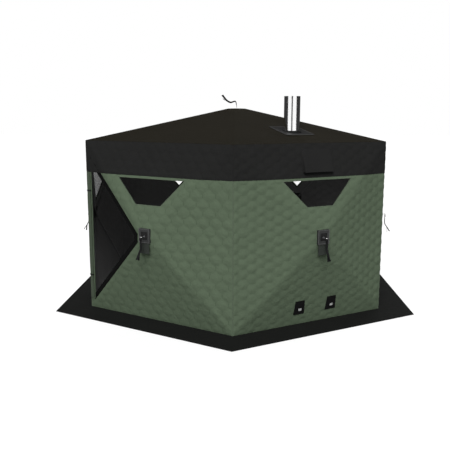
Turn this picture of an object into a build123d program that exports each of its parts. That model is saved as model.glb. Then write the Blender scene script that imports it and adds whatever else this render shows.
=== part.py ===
"""Hexagonal pop-up ice fishing hut: quilted walls pushed out by hubs, black band and roof.

Millimetres, +Z up.  The origin is the centre of the hexagon on the ground.  Each wall is
modelled as if it faced -Y, with X along the wall, Y into the hut and Z up, and is then
turned to its place.  Each hub is modelled flat, with +Z out of the hut and its poles
reaching out sideways and a little inwards, and is then set into its wall or the roof.
"""
import os
from math import atan2, cos, degrees, hypot, radians, sin, sqrt

from build123d import *

os.makedirs("parts", exist_ok=True)

# ---------------------------------------------------------------- driving dimensions
SIDE = 1750.0  # side of the hexagon, and its corner radius
EAVE = 1750.0  # height of the walls
APEX = 2085.0  # height of the roof over its hub
POP = 168.0  # how far each wall hub pushes its wall outwards
HUB_Z = EAVE / 2  # height of the wall hubs
BAND_Z = 1433.0  # bottom edge of the black band
SKIRT_RADIUS = 2128.0  # corner radius of the skirt on the ground

FABRIC = 8.0  # insulated wall and roof fabric
SKIRT_FABRIC = 4.0  # skirt fabric with its hem
VINYL = 1.5  # window panes
SEAM = 8.0  # width of a sewn seam between two panels
CORNER_TRIM = 6.0  # wall panel edge from the corner of the hut
EAVE_TRIM = 8.0  # wall panel edge below the eave
HUB_CLEAR = 50.0  # half of the square left open round a wall hub
CAP_RADIUS = 95.0  # corner radius of the hexagonal patch over the roof hub

POLE_RADIUS = 5.5
POLE_SIDES = 8  # the pultruded rods have eight flats
PIN_OUT = 36.0  # pivot pin of a pole from the centre of its hub
HUB_THICK = 24.0
HUB_SINK = 20.0  # middle of a hub behind the inside of the fabric
WALL_POLE_END = 42.0  # end of a wall pole from the corner, along the wall and up
WALL_POLE_BACK = 18.0  # and behind the wall's flat frame
ROOF_POLE_END = 82.0  # end of a roof pole from the corner of the hexagon
ROOF_POLE_DROP = 22.0  # and below the eave

WINDOW_TOP = 1408.0
WINDOW_TOP_HALF = 391.0
WINDOW_TIP = 1018.0  # where the sloping sides of a window meet
WINDOW_BOTTOM = 1166.0  # straight bottom edge of the two front windows

DOOR_EDGE = -810.0  # upright edge of the doorway, along the wall
DOOR_TIP = -100.0  # its cut-off point beside the hub
DOOR_ABOVE = 90.0  # sloping upper edge below the fold of the wall, measured straight down
DOOR_BELOW = 25.0  # sloping lower edge above the other fold
ZIP_WIDTH = 50.0  # zip flap inside the sloping edges
ROLL_WIDTH, ROLL_THICK = 54.0, 16.0  # the door, rolled up flat beside the doorway
ROLL_FOOT = 100.0
TIE_HEIGHTS = (358.0, 1242.0)
TIE_WIDE, TIE_THICK = 14.0, 2.5

FLUE_RADIUS = 80.0
FLUE_SHEET = 1.5
FLUE_TOP = 2192.0
FLUE_BOTTOM = 1640.0
FLUE_OUT = 1085.0  # flue axis from the centre of the hut
FLUE_ALONG = 25.0  # and along the eave
JACK_SIZE = 345.0  # square flue plate on the roof
JACK_RIM = 22.0
PLATE_FIELD = 3.0  # thickness of the plate inside its raised rim
SLEEVE = 8.0  # wall of the boot's sleeve, through the plate and the roof
BOOT_RING, BOOT_HIGH = 18.0, 12.0  # low ring of the boot on the plate
BOOT_DEEP = 20.0  # sleeve below the top of the roof

HOOD_TOP = 1700.0
HOOD_LOW = 1485.0
HOOD_HALF = 170.0
HOOD_OUT = 44.0  # how far the lower edge of the vent hood stands off the band
HOOD_WALL = 4.0
HOOD_HEAD = 20.0  # solid strip along its top

PORT_PLACES = (-163.0, 213.0)  # centres of the two port flaps along the wall
PORT_LOW, PORT_HIGH = 110.0, 248.0
PORT_FOOT_HALF, PORT_HEAD_HALF = 66.0, 44.0
PORT_THICK = 6.0

HALF = SIDE / 2
APOTHEM = SIDE * cos(radians(30))
ROOF_SLOPE = (APEX - EAVE) / (APOTHEM - CAP_RADIUS * cos(radians(30)))
WALLS = {
    "front_left": 240,
    "front_right": 300,
    "right": 0,
    "back_right": 60,
    "back_left": 120,
    "left": 180,
}
DOOR_WALL = "front_left"
FLUE_SIDE = "front_right"
INWARD = (0, 1, 0)  # into the hut, in a wall's own frame


# ---------------------------------------------------------------- frames and helpers
def at_wall(angle):
    """Place of a wall's own frame, with its outward direction at this angle."""
    turn = radians(angle)
    return Pos(APOTHEM * cos(turn), APOTHEM * sin(turn), 0) * Rot(0, 0, angle + 90)


def at_corner(angle):
    """Place that turns +X to a corner of the hexagon."""
    return Rot(0, 0, angle)


def bulge(x, z):
    """How far the popped-out wall stands out at a point on it."""
    return POP * (1 - max(abs(x), abs(z - HUB_Z)) / HALF)


def sheet(points, depth, direction):
    """A flat panel: a polygon of points, thickened along a direction."""
    return extrude(make_face(Polyline(*points, close=True)), amount=depth, dir=direction)


def on_wall(outline, depth, inset=0.0):
    """A panel on one facet of the wall, from its outline in x and z."""
    points = [(x, inset - bulge(x, z), z) for x, z in outline]
    return sheet(points, depth, INWARD)


def through_wall(outline):
    """A cutter that goes right through the wall, from its outline in x and z."""
    return sheet([(x, -2 * POP, z) for x, z in outline], 4 * POP, INWARD)


def block(x0, x1, y0, y1, z0, z1):
    """A box between two corners."""
    return Pos((x0 + x1) / 2, (y0 + y1) / 2, (z0 + z1) / 2) * Box(x1 - x0, y1 - y0, z1 - z0)


def save(name, *shapes):
    """Write one node: every solid of the given shapes."""
    solids = [solid for shape in shapes for solid in shape.solids()]
    body = solids[0] if len(solids) == 1 else Compound(children=solids)
    export_step(body, f"parts/{name}.step")


# ---------------------------------------------------------------- folded walls
FACETS = {
    "bottom": [(-HALF, 0), (HALF, 0), (0, HUB_Z)],
    "right": [(HALF, 0), (HALF, EAVE), (0, HUB_Z)],
    "top": [(HALF, EAVE), (-HALF, EAVE), (0, HUB_Z)],
    "left": [(-HALF, EAVE), (-HALF, 0), (0, HUB_Z)],
}
WALL_FRAME = block(
    -HALF + CORNER_TRIM, HALF - CORNER_TRIM, -2 * POP, POP, SKIRT_FABRIC, EAVE - EAVE_TRIM
)
BELOW_BAND = block(-SIDE, SIDE, -2 * POP, POP, 0, BAND_Z)
ABOVE_BAND = block(-SIDE, SIDE, -2 * POP, POP, BAND_Z, EAVE)
HUB_SPACE = block(-HUB_CLEAR, HUB_CLEAR, -2 * POP, POP, HUB_Z - HUB_CLEAR, HUB_Z + HUB_CLEAR)


def folded(depth):
    """The whole popped-out skin, in one piece and of one depth."""
    skin = on_wall(FACETS["bottom"], depth)
    for facet in ("right", "top", "left"):
        skin += on_wall(FACETS[facet], depth)
    return skin


def fold_slots():
    """The two crossing strips in which the four facets are sewn together."""
    strip = Box(3 * SIDE, 4 * POP, SEAM)
    return [Pos(0, 0, HUB_Z) * Rot(0, turn, 0) * strip for turn in (45, -45)]


def window_outline(pointed):
    """Outline of a window in the upper facet."""
    spread = WINDOW_TOP_HALF / (WINDOW_TOP - WINDOW_TIP)
    top = [(-WINDOW_TOP_HALF, WINDOW_TOP), (WINDOW_TOP_HALF, WINDOW_TOP)]
    if pointed:
        return top + [(0, WINDOW_TIP)]
    low = spread * (WINDOW_BOTTOM - WINDOW_TIP)
    return top + [(low, WINDOW_BOTTOM), (-low, WINDOW_BOTTOM)]


def door_outline(inset):
    """Corners of the doorway, or of a line inside it, before the band cuts it off."""
    drop = inset * sqrt(2)
    low = HUB_Z + DOOR_BELOW + drop
    high = HUB_Z - DOOR_ABOVE - drop
    tip = DOOR_TIP - inset
    return [(DOOR_EDGE, low + DOOR_EDGE), (tip, low + tip), (tip, high - tip), (DOOR_EDGE, high - DOOR_EDGE)]


def door_cutters():
    """The doorway, and the seams at its ends that leave one strip of wall on each side."""
    foot = door_outline(0)[0][1]
    low_seam = block(-HALF, DOOR_EDGE, -2 * POP, POP, foot - 2, foot)
    tip_seam = block(DOOR_TIP, 0, -2 * POP, POP, HUB_Z - 1, HUB_Z + 1)
    return [through_wall(door_outline(0)) & BELOW_BAND, low_seam, tip_seam]


def wall_panels(name):
    """Green panels and black band panels of one wall, in the wall's own frame."""
    green = []
    band = []
    for facet, outline in FACETS.items():
        panel = on_wall(outline, FABRIC) & WALL_FRAME
        for cutter in fold_slots() + [HUB_SPACE]:
            panel -= cutter
        if facet == "top":
            panel -= through_wall(window_outline(not name.startswith("front")))
        if facet == "left" and name == DOOR_WALL:
            for cutter in door_cutters():
                panel -= cutter
        green.append(panel & BELOW_BAND)
        if facet != "bottom":
            band.append(panel & ABOVE_BAND)
    return green, band


def fold_seams():
    """Seam tapes that fill the slots between the facets."""
    skin = folded(FABRIC) & WALL_FRAME
    return [(skin & slot) - HUB_SPACE for slot in fold_slots()]


def corner_seam():
    """Bent binding that joins two walls, along the corner on the +X axis."""
    along = Vector(-cos(radians(60)), sin(radians(60)))  # from the corner, along one wall
    inward = Vector(-sin(radians(60)), -cos(radians(60)))
    outer = Vector(SIDE, 0) + along * CORNER_TRIM
    inner = outer + inward * FABRIC
    side = [(outer.X, outer.Y), (inner.X, inner.Y)]
    mirrored = [(x, -y) for x, y in reversed(side)]
    plan = [(SIDE, 0)] + side + [(SIDE - FABRIC / cos(radians(30)), 0)] + mirrored
    height = EAVE - EAVE_TRIM - SKIRT_FABRIC
    return sheet([(x, y, SKIRT_FABRIC) for x, y in plan], height, (0, 0, 1))


# ---------------------------------------------------------------- hubs and poles
HUB_RADIUS = 26.0
EAR = 6.0  # thickness of one ear of a hub
EAR_REACH = PIN_OUT + 10
SLOT_START = 24.0  # the slot between two ears starts this far from the hub's centre
TONGUE = 7.0  # thickness of the flat tongue on a pole's tip
TONGUE_PLAY = 0.5  # on each side of it
TONGUE_HEIGHT = 12.0
TONGUE_LENGTH = 22.0
TONGUE_NOSE = 6.0  # how far it goes on past its pin
FERRULE_LENGTH = 30.0
FERRULE_RADIUS = 9.0
PIN_RADIUS = 3.0
PIN_SIDES = 6
SLOT = TONGUE + 2 * TONGUE_PLAY
EARS = SLOT + 2 * EAR
TIP_LENGTH = TONGUE_LENGTH + FERRULE_LENGTH


def cross_pin(length):
    """A pivot pin along Y."""
    return Rot(90, 0, 0) * extrude(RegularPolygon(PIN_RADIUS, PIN_SIDES), amount=length / 2, both=True)


def pivots(arms, dive):
    """Places of the pivots of a hub, each with +X along its pole."""
    return [Rot(0, 0, angle) * Pos(PIN_OUT, 0, 0) * Rot(0, dive, 0) for angle in arms]


def hub_body(arms, dive):
    """Moulded hub: a disc with a pair of bored ears for each pole."""
    body = Cylinder(HUB_RADIUS, HUB_THICK)
    for angle in arms:
        body += Rot(0, 0, angle) * Pos(EAR_REACH / 2, 0, 0) * Box(EAR_REACH, EARS, HUB_THICK)
    for angle in arms:
        slot = Pos(SLOT_START + HUB_RADIUS, 0, 0) * Box(2 * HUB_RADIUS, SLOT, 2 * HUB_THICK)
        body -= Rot(0, 0, angle) * slot
    for pivot in pivots(arms, dive):
        body -= pivot * cross_pin(2 * EARS)
    return body


def pole_tip():
    """Tongue and ferrule of a pole along +X, with its pivot at the origin."""
    middle = (TONGUE_LENGTH - TONGUE_NOSE) / 2
    tongue = Pos(middle, 0, 0) * Box(TONGUE_LENGTH + TONGUE_NOSE, TONGUE, TONGUE_HEIGHT)
    tongue -= cross_pin(2 * TONGUE)
    section = Plane.YZ.offset(TONGUE_LENGTH) * RegularPolygon(FERRULE_RADIUS, 6)
    return tongue + extrude(section, amount=FERRULE_LENGTH)


def hub_set(arms, reach, drop):
    """A hub with its pins, tips and rods; the rods end at this reach and drop."""
    dive = degrees(atan2(drop, reach - PIN_OUT))
    length = hypot(drop, reach - PIN_OUT) - TIP_LENGTH
    section = Plane.YZ.offset(TIP_LENGTH) * RegularPolygon(POLE_RADIUS, POLE_SIDES)
    places = pivots(arms, dive)
    pins = [place * cross_pin(EARS) for place in places]
    tips = [place * pole_tip() for place in places]
    rods = [place * extrude(section, amount=length) for place in places]
    return hub_body(arms, dive), pins, tips, rods


WALL_HUB_Y = FABRIC + HUB_SINK - POP  # middle of a wall hub, in the wall's frame
WALL_HUB_PLACE = Pos(0, WALL_HUB_Y, HUB_Z) * Rot(90, 0, 0)
WALL_ARMS = (45, 135, 225, 315)
WALL_REACH = sqrt(2) * (HALF - WALL_POLE_END)
WALL_DROP = WALL_POLE_BACK - WALL_HUB_Y
ROOF_HUB_Z = APEX - FABRIC - HUB_SINK
ROOF_ARMS = (30, 90, 150, 210, 270, 330)
ROOF_REACH = SIDE - ROOF_POLE_END
ROOF_DROP = ROOF_HUB_Z - (EAVE - ROOF_POLE_DROP)


# ---------------------------------------------------------------- corner pockets
POCKET_SIDE = 92.0
POCKET_DEPTH = 105.0
POCKET_SLOT = 2 * POLE_RADIUS + 1
POCKET_LEVELS = {(6.0, 80.0): (315, 225), (1672.0, 1738.0): (45, 135)}  # and the hub arms that end there
SOCKET_LENGTH = 200.0


def socket(hub, angle, reach, drop):
    """A square channel round the end of a pole, open towards its hub."""
    dive = degrees(atan2(drop, reach - PIN_OUT))
    end = hypot(drop, reach - PIN_OUT)
    channel = Pos(end - SOCKET_LENGTH / 2, 0, 0) * Box(SOCKET_LENGTH, POCKET_SLOT, POCKET_SLOT)
    return hub * Rot(0, 0, angle) * Pos(PIN_OUT, 0, 0) * Rot(0, dive, 0) * channel


def corner_pocket(z0, z1):
    """Webbing pocket in a corner of the hut, on the +X axis."""
    tip = SIDE - FABRIC / cos(radians(30)) - 1
    wing_x = tip - POCKET_SIDE * cos(radians(60))
    wing_y = POCKET_SIDE * sin(radians(60))
    plan = [(tip, 0), (wing_x, wing_y), (tip - POCKET_DEPTH, 0), (wing_x, -wing_y)]
    return sheet([(x, y, z0) for x, y in plan], z1 - z0, (0, 0, 1))


def pockets_at(angle):
    """Ground and eave pockets of one corner, cut to take the ends of the poles."""
    pockets = []
    for (z0, z1), arms in POCKET_LEVELS.items():
        pocket = at_corner(angle) * corner_pocket(z0, z1)
        for wall_angle, arm in zip((angle - 30, angle + 30), arms):
            hub = at_wall(wall_angle) * WALL_HUB_PLACE
            pocket -= socket(hub, arm, WALL_REACH, WALL_DROP)
        if z0 > HUB_Z:
            pocket -= socket(Pos(0, 0, ROOF_HUB_Z), angle, ROOF_REACH, ROOF_DROP)
        pockets.append(pocket)
    return pockets


# ---------------------------------------------------------------- roof
def hip_height(radius):
    """Height of the roof over a hip, at a distance from the centre."""
    return EAVE + (APEX - EAVE) * (SIDE - radius) / (SIDE - CAP_RADIUS)


def roof_gore():
    """Roof panel of the wall that faces -Y, with room for the seams on its three sides."""
    points = []
    for radius, angle in ((SIDE, -120), (SIDE, -60), (CAP_RADIUS, -60), (CAP_RADIUS, -120)):
        turn = radians(angle)
        points.append((radius * cos(turn), radius * sin(turn), hip_height(radius)))
    gore = sheet(points, FABRIC, (0, 0, -1))
    for angle in (-60, -120):
        gore -= Rot(0, 0, angle) * Box(4 * SIDE, SEAM, 4 * EAVE)
    return gore & block(-SIDE, SIDE, CORNER_TRIM - APOTHEM, SIDE, 0, 2 * EAVE)


def hip_seam():
    """Seam tape under one hip, along +X."""
    low, high = SIDE - 2 * SEAM, CAP_RADIUS + 1
    half = SEAM / 2
    corners = [(low, -half), (low, half), (high, half), (high, -half)]
    return sheet([(x, y, hip_height(x)) for x, y in corners], FABRIC, (0, 0, -1))


def eave_seam():
    """Seam along the eave of the wall that faces -Y, from the band to the gore."""
    end = -HALF + 2 * CORNER_TRIM
    rise = CORNER_TRIM * ROOF_SLOPE
    profile = [(0, EAVE - EAVE_TRIM), (0, EAVE), (CORNER_TRIM, EAVE + rise), (CORNER_TRIM, EAVE - EAVE_TRIM)]
    return sheet([(end, y, z) for y, z in profile], -2 * end, (1, 0, 0))


def roof_cap():
    """Hexagonal patch of doubled fabric that closes the top of the roof."""
    patch = extrude(RegularPolygon(CAP_RADIUS, 6, rotation=30), amount=FABRIC)
    return Pos(0, 0, APEX - FABRIC) * patch


CAP_STRAP = [(0, 0), (0, 20), (-4, 48), (-17, 76), (-36, 72), (-71, 66), (-118, 92), (-168, 152)]


def roof_strap():
    """Webbing on the cap: it stands up, folds over and ends in a free tail."""
    return ribbon([(y, APEX + rise) for y, rise in CAP_STRAP])


# ---------------------------------------------------------------- skirt
def skirt_panel():
    """Skirt panel of the wall that faces -Y; the wall stands on its inner edge."""
    inner = (APOTHEM - FABRIC) / sqrt(3) - 1
    outer = SKIRT_RADIUS / 2 - 1
    depth = SKIRT_RADIUS * cos(radians(30)) - APOTHEM
    outline = [(-inner, FABRIC), (inner, FABRIC), (outer, -depth), (-outer, -depth)]
    return sheet([(x, y, 0) for x, y in outline], SKIRT_FABRIC, (0, 0, 1))


# ---------------------------------------------------------------- outside of a wall hub
PLATE_WIDTH, PLATE_HEIGHT = 130.0, 138.0
PLATE_Z = HUB_Z + 6
PLATE_STAND = 10.0  # front of the plate from the tip of the folded wall
PLATE_RIM = 9.0
FIELD_DEEP = 3.0  # the field inside the rim
POCKET = 74.0  # square pocket round the bolt
POCKET_DEEP = 8.0
SEAT_Y = POCKET_DEEP - PLATE_STAND - POP  # bottom of the pocket
BOLT_OUT = 56.0  # far end of the pull bolt from the bottom of the pocket
WASHER_RADIUS, WASHER_THICK = 12.0, 2.0
NUT_RADIUS, NUT_THICK = 9.0, 9.0
SHANK_RADIUS = 4.0
HEAD_RADIUS, HEAD_THICK = 11.0, 5.0
HEAD_SIDES = 8
WEBBING = 2.0  # thickness of the straps
WEBBING_WIDTH = 24.0
FLAP_FOOT = 202.0  # lower end of the hub flap below the hub
FLAP_OUT = 2.0  # its back from the tip of the folded wall
FLAP_THICK = 6.0
STRAP_Y = SEAT_Y - BOLT_OUT + HEAD_THICK + 0.5 + WEBBING / 2  # the strap hangs behind the bolt's head
STRAP_HANG = [(0, 12), (0, -12), (0.5, -72), (-2.5, -112)]
STRAP_TAIL = [(-29.5, -156), (-38.5, -210)]
STRAP_SPLIT = [(-31.8, -156), (-73.5, -206)]


def on_front(face, out, depth):
    """Extrude a flat face inwards, from this far outside the tip of the folded wall."""
    front = Plane((0, -POP - out, PLATE_Z), x_dir=(1, 0, 0), z_dir=(0, -1, 0))
    return extrude(front * face, amount=-depth)


def hub_plate(skin):
    """Framed plate on the wall, with a boss through it that seats on the hub."""
    outline = Rectangle(PLATE_WIDTH, PLATE_HEIGHT)
    outline = chamfer(outline.vertices(), PLATE_RIM)
    plate = on_front(outline, PLATE_STAND, 3 * PLATE_STAND)
    field = Rectangle(PLATE_WIDTH - 2 * PLATE_RIM, PLATE_HEIGHT - 2 * PLATE_RIM)
    plate -= on_front(field, PLATE_STAND, FIELD_DEEP)
    plate -= on_front(Rectangle(POCKET, POCKET), PLATE_STAND, POCKET_DEEP)
    half = HUB_CLEAR - 2
    boss = block(-half, half, -2 * POP, WALL_HUB_Y - HUB_THICK / 2, HUB_Z - half, HUB_Z + half)
    return (plate - skin) + (boss & skin)


def hub_flap():
    """Fabric flap that hangs from the foot of the plate."""
    half = PLATE_WIDTH / 2 - PLATE_RIM
    back = -POP - FLAP_OUT
    return block(-half, half, back - FLAP_THICK, back, HUB_Z - FLAP_FOOT, PLATE_Z - PLATE_HEIGHT / 2)


def pull_bolt():
    """Bolt that stands out of the pocket: washer, hexagonal nut, shank and round head."""
    seat = Plane((0, SEAT_Y, HUB_Z), x_dir=(1, 0, 0), z_dir=(0, -1, 0))
    bolt = extrude(seat * RegularPolygon(WASHER_RADIUS, HEAD_SIDES), amount=WASHER_THICK)
    bolt += extrude(seat * RegularPolygon(NUT_RADIUS, 6), amount=WASHER_THICK + NUT_THICK)
    bolt += extrude(seat * RegularPolygon(SHANK_RADIUS, 6), amount=BOLT_OUT)
    head = seat.offset(BOLT_OUT - HEAD_THICK) * RegularPolygon(HEAD_RADIUS, HEAD_SIDES)
    return bolt + extrude(head, amount=HEAD_THICK)


def ribbon(path):
    """Flat webbing that follows a path in Y and Z, centred on X = 0."""
    near, far = [], []
    for index, (y, z) in enumerate(path):
        before = path[max(index - 1, 0)]
        after = path[min(index + 1, len(path) - 1)]
        run = Vector(after[0] - before[0], after[1] - before[1]).normalized() * (WEBBING / 2)
        near.append((y - run.Y, z + run.X))
        far.append((y + run.Y, z - run.X))
    return sheet([(-WEBBING_WIDTH / 2, y, z) for y, z in near + far[::-1]], WEBBING_WIDTH, (1, 0, 0))


def pull_straps():
    """Webbing that hangs from behind the head of the bolt and splits into two tails."""
    hang, split = [
        ribbon([(STRAP_Y + y, HUB_Z + z) for y, z in path]) for path in (STRAP_HANG + STRAP_TAIL, STRAP_SPLIT)
    ]
    seat = Plane((0, SEAT_Y, HUB_Z), x_dir=(1, 0, 0), z_dir=(0, -1, 0))
    return hang - extrude(seat * RegularPolygon(SHANK_RADIUS + 1, 6), amount=BOLT_OUT), split


# ---------------------------------------------------------------- flue, in its wall's frame
FLUE_Y = APOTHEM - FLUE_OUT
FLUE_FOOT = Pos(FLUE_ALONG, FLUE_Y, 0)
FLUE_ROOF_Z = EAVE + ROOF_SLOPE * FLUE_Y
ROOF_PLANE = Plane((FLUE_ALONG, FLUE_Y, FLUE_ROOF_Z), x_dir=(1, 0, 0), z_dir=(0, -ROOF_SLOPE, 1))


def flue_hole():
    """Cutter for the round hole in the roof and its plate, which the boot's sleeve fills."""
    return FLUE_FOOT * Pos(0, 0, APEX) * Cylinder(FLUE_RADIUS + SLEEVE, EAVE)


def flue_pipe():
    """Length of thin round pipe, open at both ends."""
    pipe = Cylinder(FLUE_RADIUS, FLUE_TOP - FLUE_BOTTOM)
    pipe -= Cylinder(FLUE_RADIUS - FLUE_SHEET, EAVE)
    return FLUE_FOOT * Pos(0, 0, (FLUE_TOP + FLUE_BOTTOM) / 2) * pipe


def flue_plate():
    """Square plate with a raised rim, flat on the roof."""
    plate = extrude(ROOF_PLANE * Rectangle(JACK_SIZE, JACK_SIZE), amount=2 * PLATE_FIELD)
    inside = JACK_SIZE - 2 * JACK_RIM
    plate -= extrude(ROOF_PLANE.offset(PLATE_FIELD) * Rectangle(inside, inside), amount=2 * PLATE_FIELD)
    return plate - flue_hole()


def flue_collar():
    """Rubber boot: a sleeve through the roof that grips the pipe, and a low ring on the plate."""
    depth = BOOT_DEEP + PLATE_FIELD + BOOT_HIGH
    slab = extrude(ROOF_PLANE.offset(-BOOT_DEEP) * Rectangle(JACK_SIZE, JACK_SIZE), amount=depth)
    ring = extrude(ROOF_PLANE.offset(PLATE_FIELD) * Circle(FLUE_RADIUS + BOOT_RING), amount=BOOT_HIGH)
    bore = FLUE_FOOT * Pos(0, 0, APEX) * Cylinder(FLUE_RADIUS, EAVE)
    return (flue_hole() & slab) + ring - bore


# ---------------------------------------------------------------- vent hood
def vent_hood():
    """Stiffened hood on the band: a sloping front and two cheeks, open below."""
    top, low = -bulge(0, HOOD_TOP), -bulge(0, HOOD_LOW)
    outer = [(top, HOOD_TOP), (top - HOOD_WALL, HOOD_TOP), (low - HOOD_OUT, HOOD_LOW), (low, HOOD_LOW)]
    hood = sheet([(-HOOD_HALF, y, z) for y, z in outer], 2 * HOOD_HALF, (1, 0, 0))
    mouth = [(top, HOOD_TOP - HOOD_HEAD), (low - HOOD_OUT + HOOD_WALL, HOOD_LOW - 1), (low + POP, HOOD_LOW - 1)]
    inside = HOOD_HALF - HOOD_WALL
    return hood - sheet([(-inside, y, z) for y, z in mouth], 2 * inside, (1, 0, 0))


# ---------------------------------------------------------------- rolled door and zip
def rolled_door(behind):
    """Door rolled up flat on the strip of wall at the corner, with the two ties round it."""
    x = DOOR_EDGE - CORNER_TRIM - ROLL_WIDTH / 2
    lean = atan2(POP, HALF)
    y = -bulge(x, HUB_Z) - (ROLL_THICK / 2 + 0.5) / cos(lean)
    turn = Rot(0, 0, -degrees(lean))
    section = SlotOverall(ROLL_WIDTH, ROLL_THICK)
    roll = Pos(x, y, ROLL_FOOT) * turn * extrude(section, amount=BAND_Z - ROLL_FOOT)
    loop = SlotOverall(ROLL_WIDTH + 2 * TIE_THICK, ROLL_THICK + 2 * TIE_THICK) - section
    tie = turn * extrude(loop, amount=TIE_WIDE)
    return roll - behind, [Pos(x, y, level - TIE_WIDE / 2) * tie - behind for level in TIE_HEIGHTS]


def door_zip():
    """Zip flap inside the doorway's two sloping edges and its cut-off point."""
    a_low, a_tip, b_tip, b_high = door_outline(0)
    c_low, c_tip, d_tip, d_high = door_outline(ZIP_WIDTH)
    gap = 1.0
    outlines = [
        [a_low, (a_tip[0] - gap, a_tip[1] - gap), c_tip, c_low],
        [(a_tip[0], a_tip[1] + gap), (b_tip[0], b_tip[1] - gap), d_tip, c_tip],
        [(b_tip[0] - gap, b_tip[1] + gap), b_high, d_high, d_tip],
    ]
    return [on_wall(outline, FABRIC / 2, inset=2) & BELOW_BAND for outline in outlines]


def port_flap(centre):
    """Trapezoid flap over a cable port, flat on the lower facet."""
    foot = [(centre - PORT_FOOT_HALF, PORT_LOW), (centre + PORT_FOOT_HALF, PORT_LOW)]
    head = [(centre + PORT_HEAD_HALF, PORT_HIGH), (centre - PORT_HEAD_HALF, PORT_HIGH)]
    return on_wall(foot + head, PORT_THICK, inset=-PORT_THICK)


# ---------------------------------------------------------------- build: six sides
behind = folded(3 * POP)
seams = fold_seams()
hub, pins, tips, rods = hub_set(WALL_ARMS, WALL_REACH, WALL_DROP)
plate = hub_plate(behind)
repeated = {
    "wall_hubs": [WALL_HUB_PLACE * hub],
    "wall_poles": [WALL_HUB_PLACE * rod for rod in rods],
    "facet_seams": seams,
    "ground_skirt": [skirt_panel()],
    "hub_plates": [plate],
    "hub_flaps": [hub_flap()],
    "hub_bolts": [pull_bolt()],
    "pull_straps": pull_straps(),
}
nodes = {name: [] for name in repeated}
window_panes = []
all_pins = []
all_tips = []
roof_seams = []
gore = roof_gore()
for name, angle in WALLS.items():
    place = at_wall(angle)
    green, band = wall_panels(name)
    save(f"wall_{name}", *[place * panel for panel in green])
    save(f"band_{name}", *[place * panel for panel in band])
    panel = Rot(0, 0, angle + 90) * gore
    if name == FLUE_SIDE:
        panel -= place * flue_hole()
    save(f"roof_{name}", panel)
    for node, shapes in repeated.items():
        nodes[node] += [place * shape for shape in shapes]
    pane = on_wall(window_outline(not name.startswith("front")), VINYL, inset=FABRIC / 2)
    window_panes.append(place * pane)
    all_pins += [place * WALL_HUB_PLACE * pin for pin in pins]
    all_tips += [place * WALL_HUB_PLACE * tip for tip in tips]
    roof_seams += [place * eave_seam(), at_corner(angle + 30) * hip_seam()]
for node, shapes in nodes.items():
    save(node, *shapes)
save("window_panes", *window_panes)
save("corner_seams", *[at_corner(angle + 30) * corner_seam() for angle in WALLS.values()])
save("corner_pockets", *[pocket for angle in WALLS.values() for pocket in pockets_at(angle + 30)])

# ---------------------------------------------------------------- build: roof hub and cap
hub, pins, tips, rods = hub_set(ROOF_ARMS, ROOF_REACH, ROOF_DROP)
roof_place = Pos(0, 0, ROOF_HUB_Z)
save("roof_hub", roof_place * hub)
save("roof_poles", *[roof_place * rod for rod in rods])
save("hub_pins", *all_pins, *[roof_place * pin for pin in pins])
save("pole_tips", *all_tips, *[roof_place * tip for tip in tips])
save("roof_seams", *roof_seams)
save("roof_cap", roof_cap())
save("roof_strap", Rot(0, 0, -90) * roof_strap())

# ---------------------------------------------------------------- build: flue, vent, door, ports
flue_place = at_wall(WALLS[FLUE_SIDE])
save("flue_pipe", flue_place * flue_pipe())
save("flue_plate", flue_place * flue_plate())
save("flue_collar", flue_place * flue_collar())
save("vent_hood", flue_place * vent_hood())
save("port_flaps", *[flue_place * port_flap(centre) for centre in PORT_PLACES])
roll, ties = rolled_door(behind)
door_place = at_wall(WALLS[DOOR_WALL])
save("door_roll", door_place * roll)
save("door_ties", *[door_place * tie for tie in ties])
save("door_zip", *[door_place * strip for strip in door_zip()])
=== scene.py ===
# %% [markdown]
# # An ice fishing hut
# The hut is a six-sided pop-up tent. Four glass fibre rods spread from a hub in the middle of
# each wall and push it outwards, so a wall is four flat triangles that meet at the hub. The
# walls are quilted green fabric under a black band, and the roof and the skirt are black.
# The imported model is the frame: it gives every size and place, in metres.

# %% Load the frame
from math import atan2, cos, hypot, pi, radians, sin, sqrt, tan

import bmesh
import bpy
import numpy as np
from mathutils import Euler, Matrix, Vector


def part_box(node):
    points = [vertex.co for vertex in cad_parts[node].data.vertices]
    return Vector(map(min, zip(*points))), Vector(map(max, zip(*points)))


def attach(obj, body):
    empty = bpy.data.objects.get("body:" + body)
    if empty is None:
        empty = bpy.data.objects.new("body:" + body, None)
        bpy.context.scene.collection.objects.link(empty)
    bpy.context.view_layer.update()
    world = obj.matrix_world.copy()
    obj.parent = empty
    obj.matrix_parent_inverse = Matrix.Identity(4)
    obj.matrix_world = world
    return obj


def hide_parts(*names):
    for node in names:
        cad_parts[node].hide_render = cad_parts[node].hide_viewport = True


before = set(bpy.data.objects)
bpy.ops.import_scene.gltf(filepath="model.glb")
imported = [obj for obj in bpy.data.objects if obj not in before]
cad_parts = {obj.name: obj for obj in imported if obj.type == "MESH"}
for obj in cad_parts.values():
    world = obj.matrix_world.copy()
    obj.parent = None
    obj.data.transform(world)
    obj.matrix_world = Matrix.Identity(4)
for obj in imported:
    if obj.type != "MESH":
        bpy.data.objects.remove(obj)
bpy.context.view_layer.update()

# %% Read the driving sizes from the frame
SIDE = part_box("corner_seams")[1].y
HALF = SIDE / 2
APOTHEM = SIDE * cos(radians(30))
EAVE_TRIM = 0.008
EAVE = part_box("roof_seams")[0].z + EAVE_TRIM
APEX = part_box("roof_cap")[1].z
BAND_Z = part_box("band_left")[0].z
SKIRT_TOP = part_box("ground_skirt")[1].z
SKIRT_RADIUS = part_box("ground_skirt")[1].y
HUB_Z = EAVE / 2
PLATE_STAND = 0.010
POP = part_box("hub_plates")[1].x - APOTHEM - PLATE_STAND
LEAN = atan2(POP, HALF)
UPRIGHT = (radians(90), 0, 0)
WALLS = {
    "front_left": 240, "front_right": 300, "right": 0,
    "back_right": 60, "back_left": 120, "left": 180,
}
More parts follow.
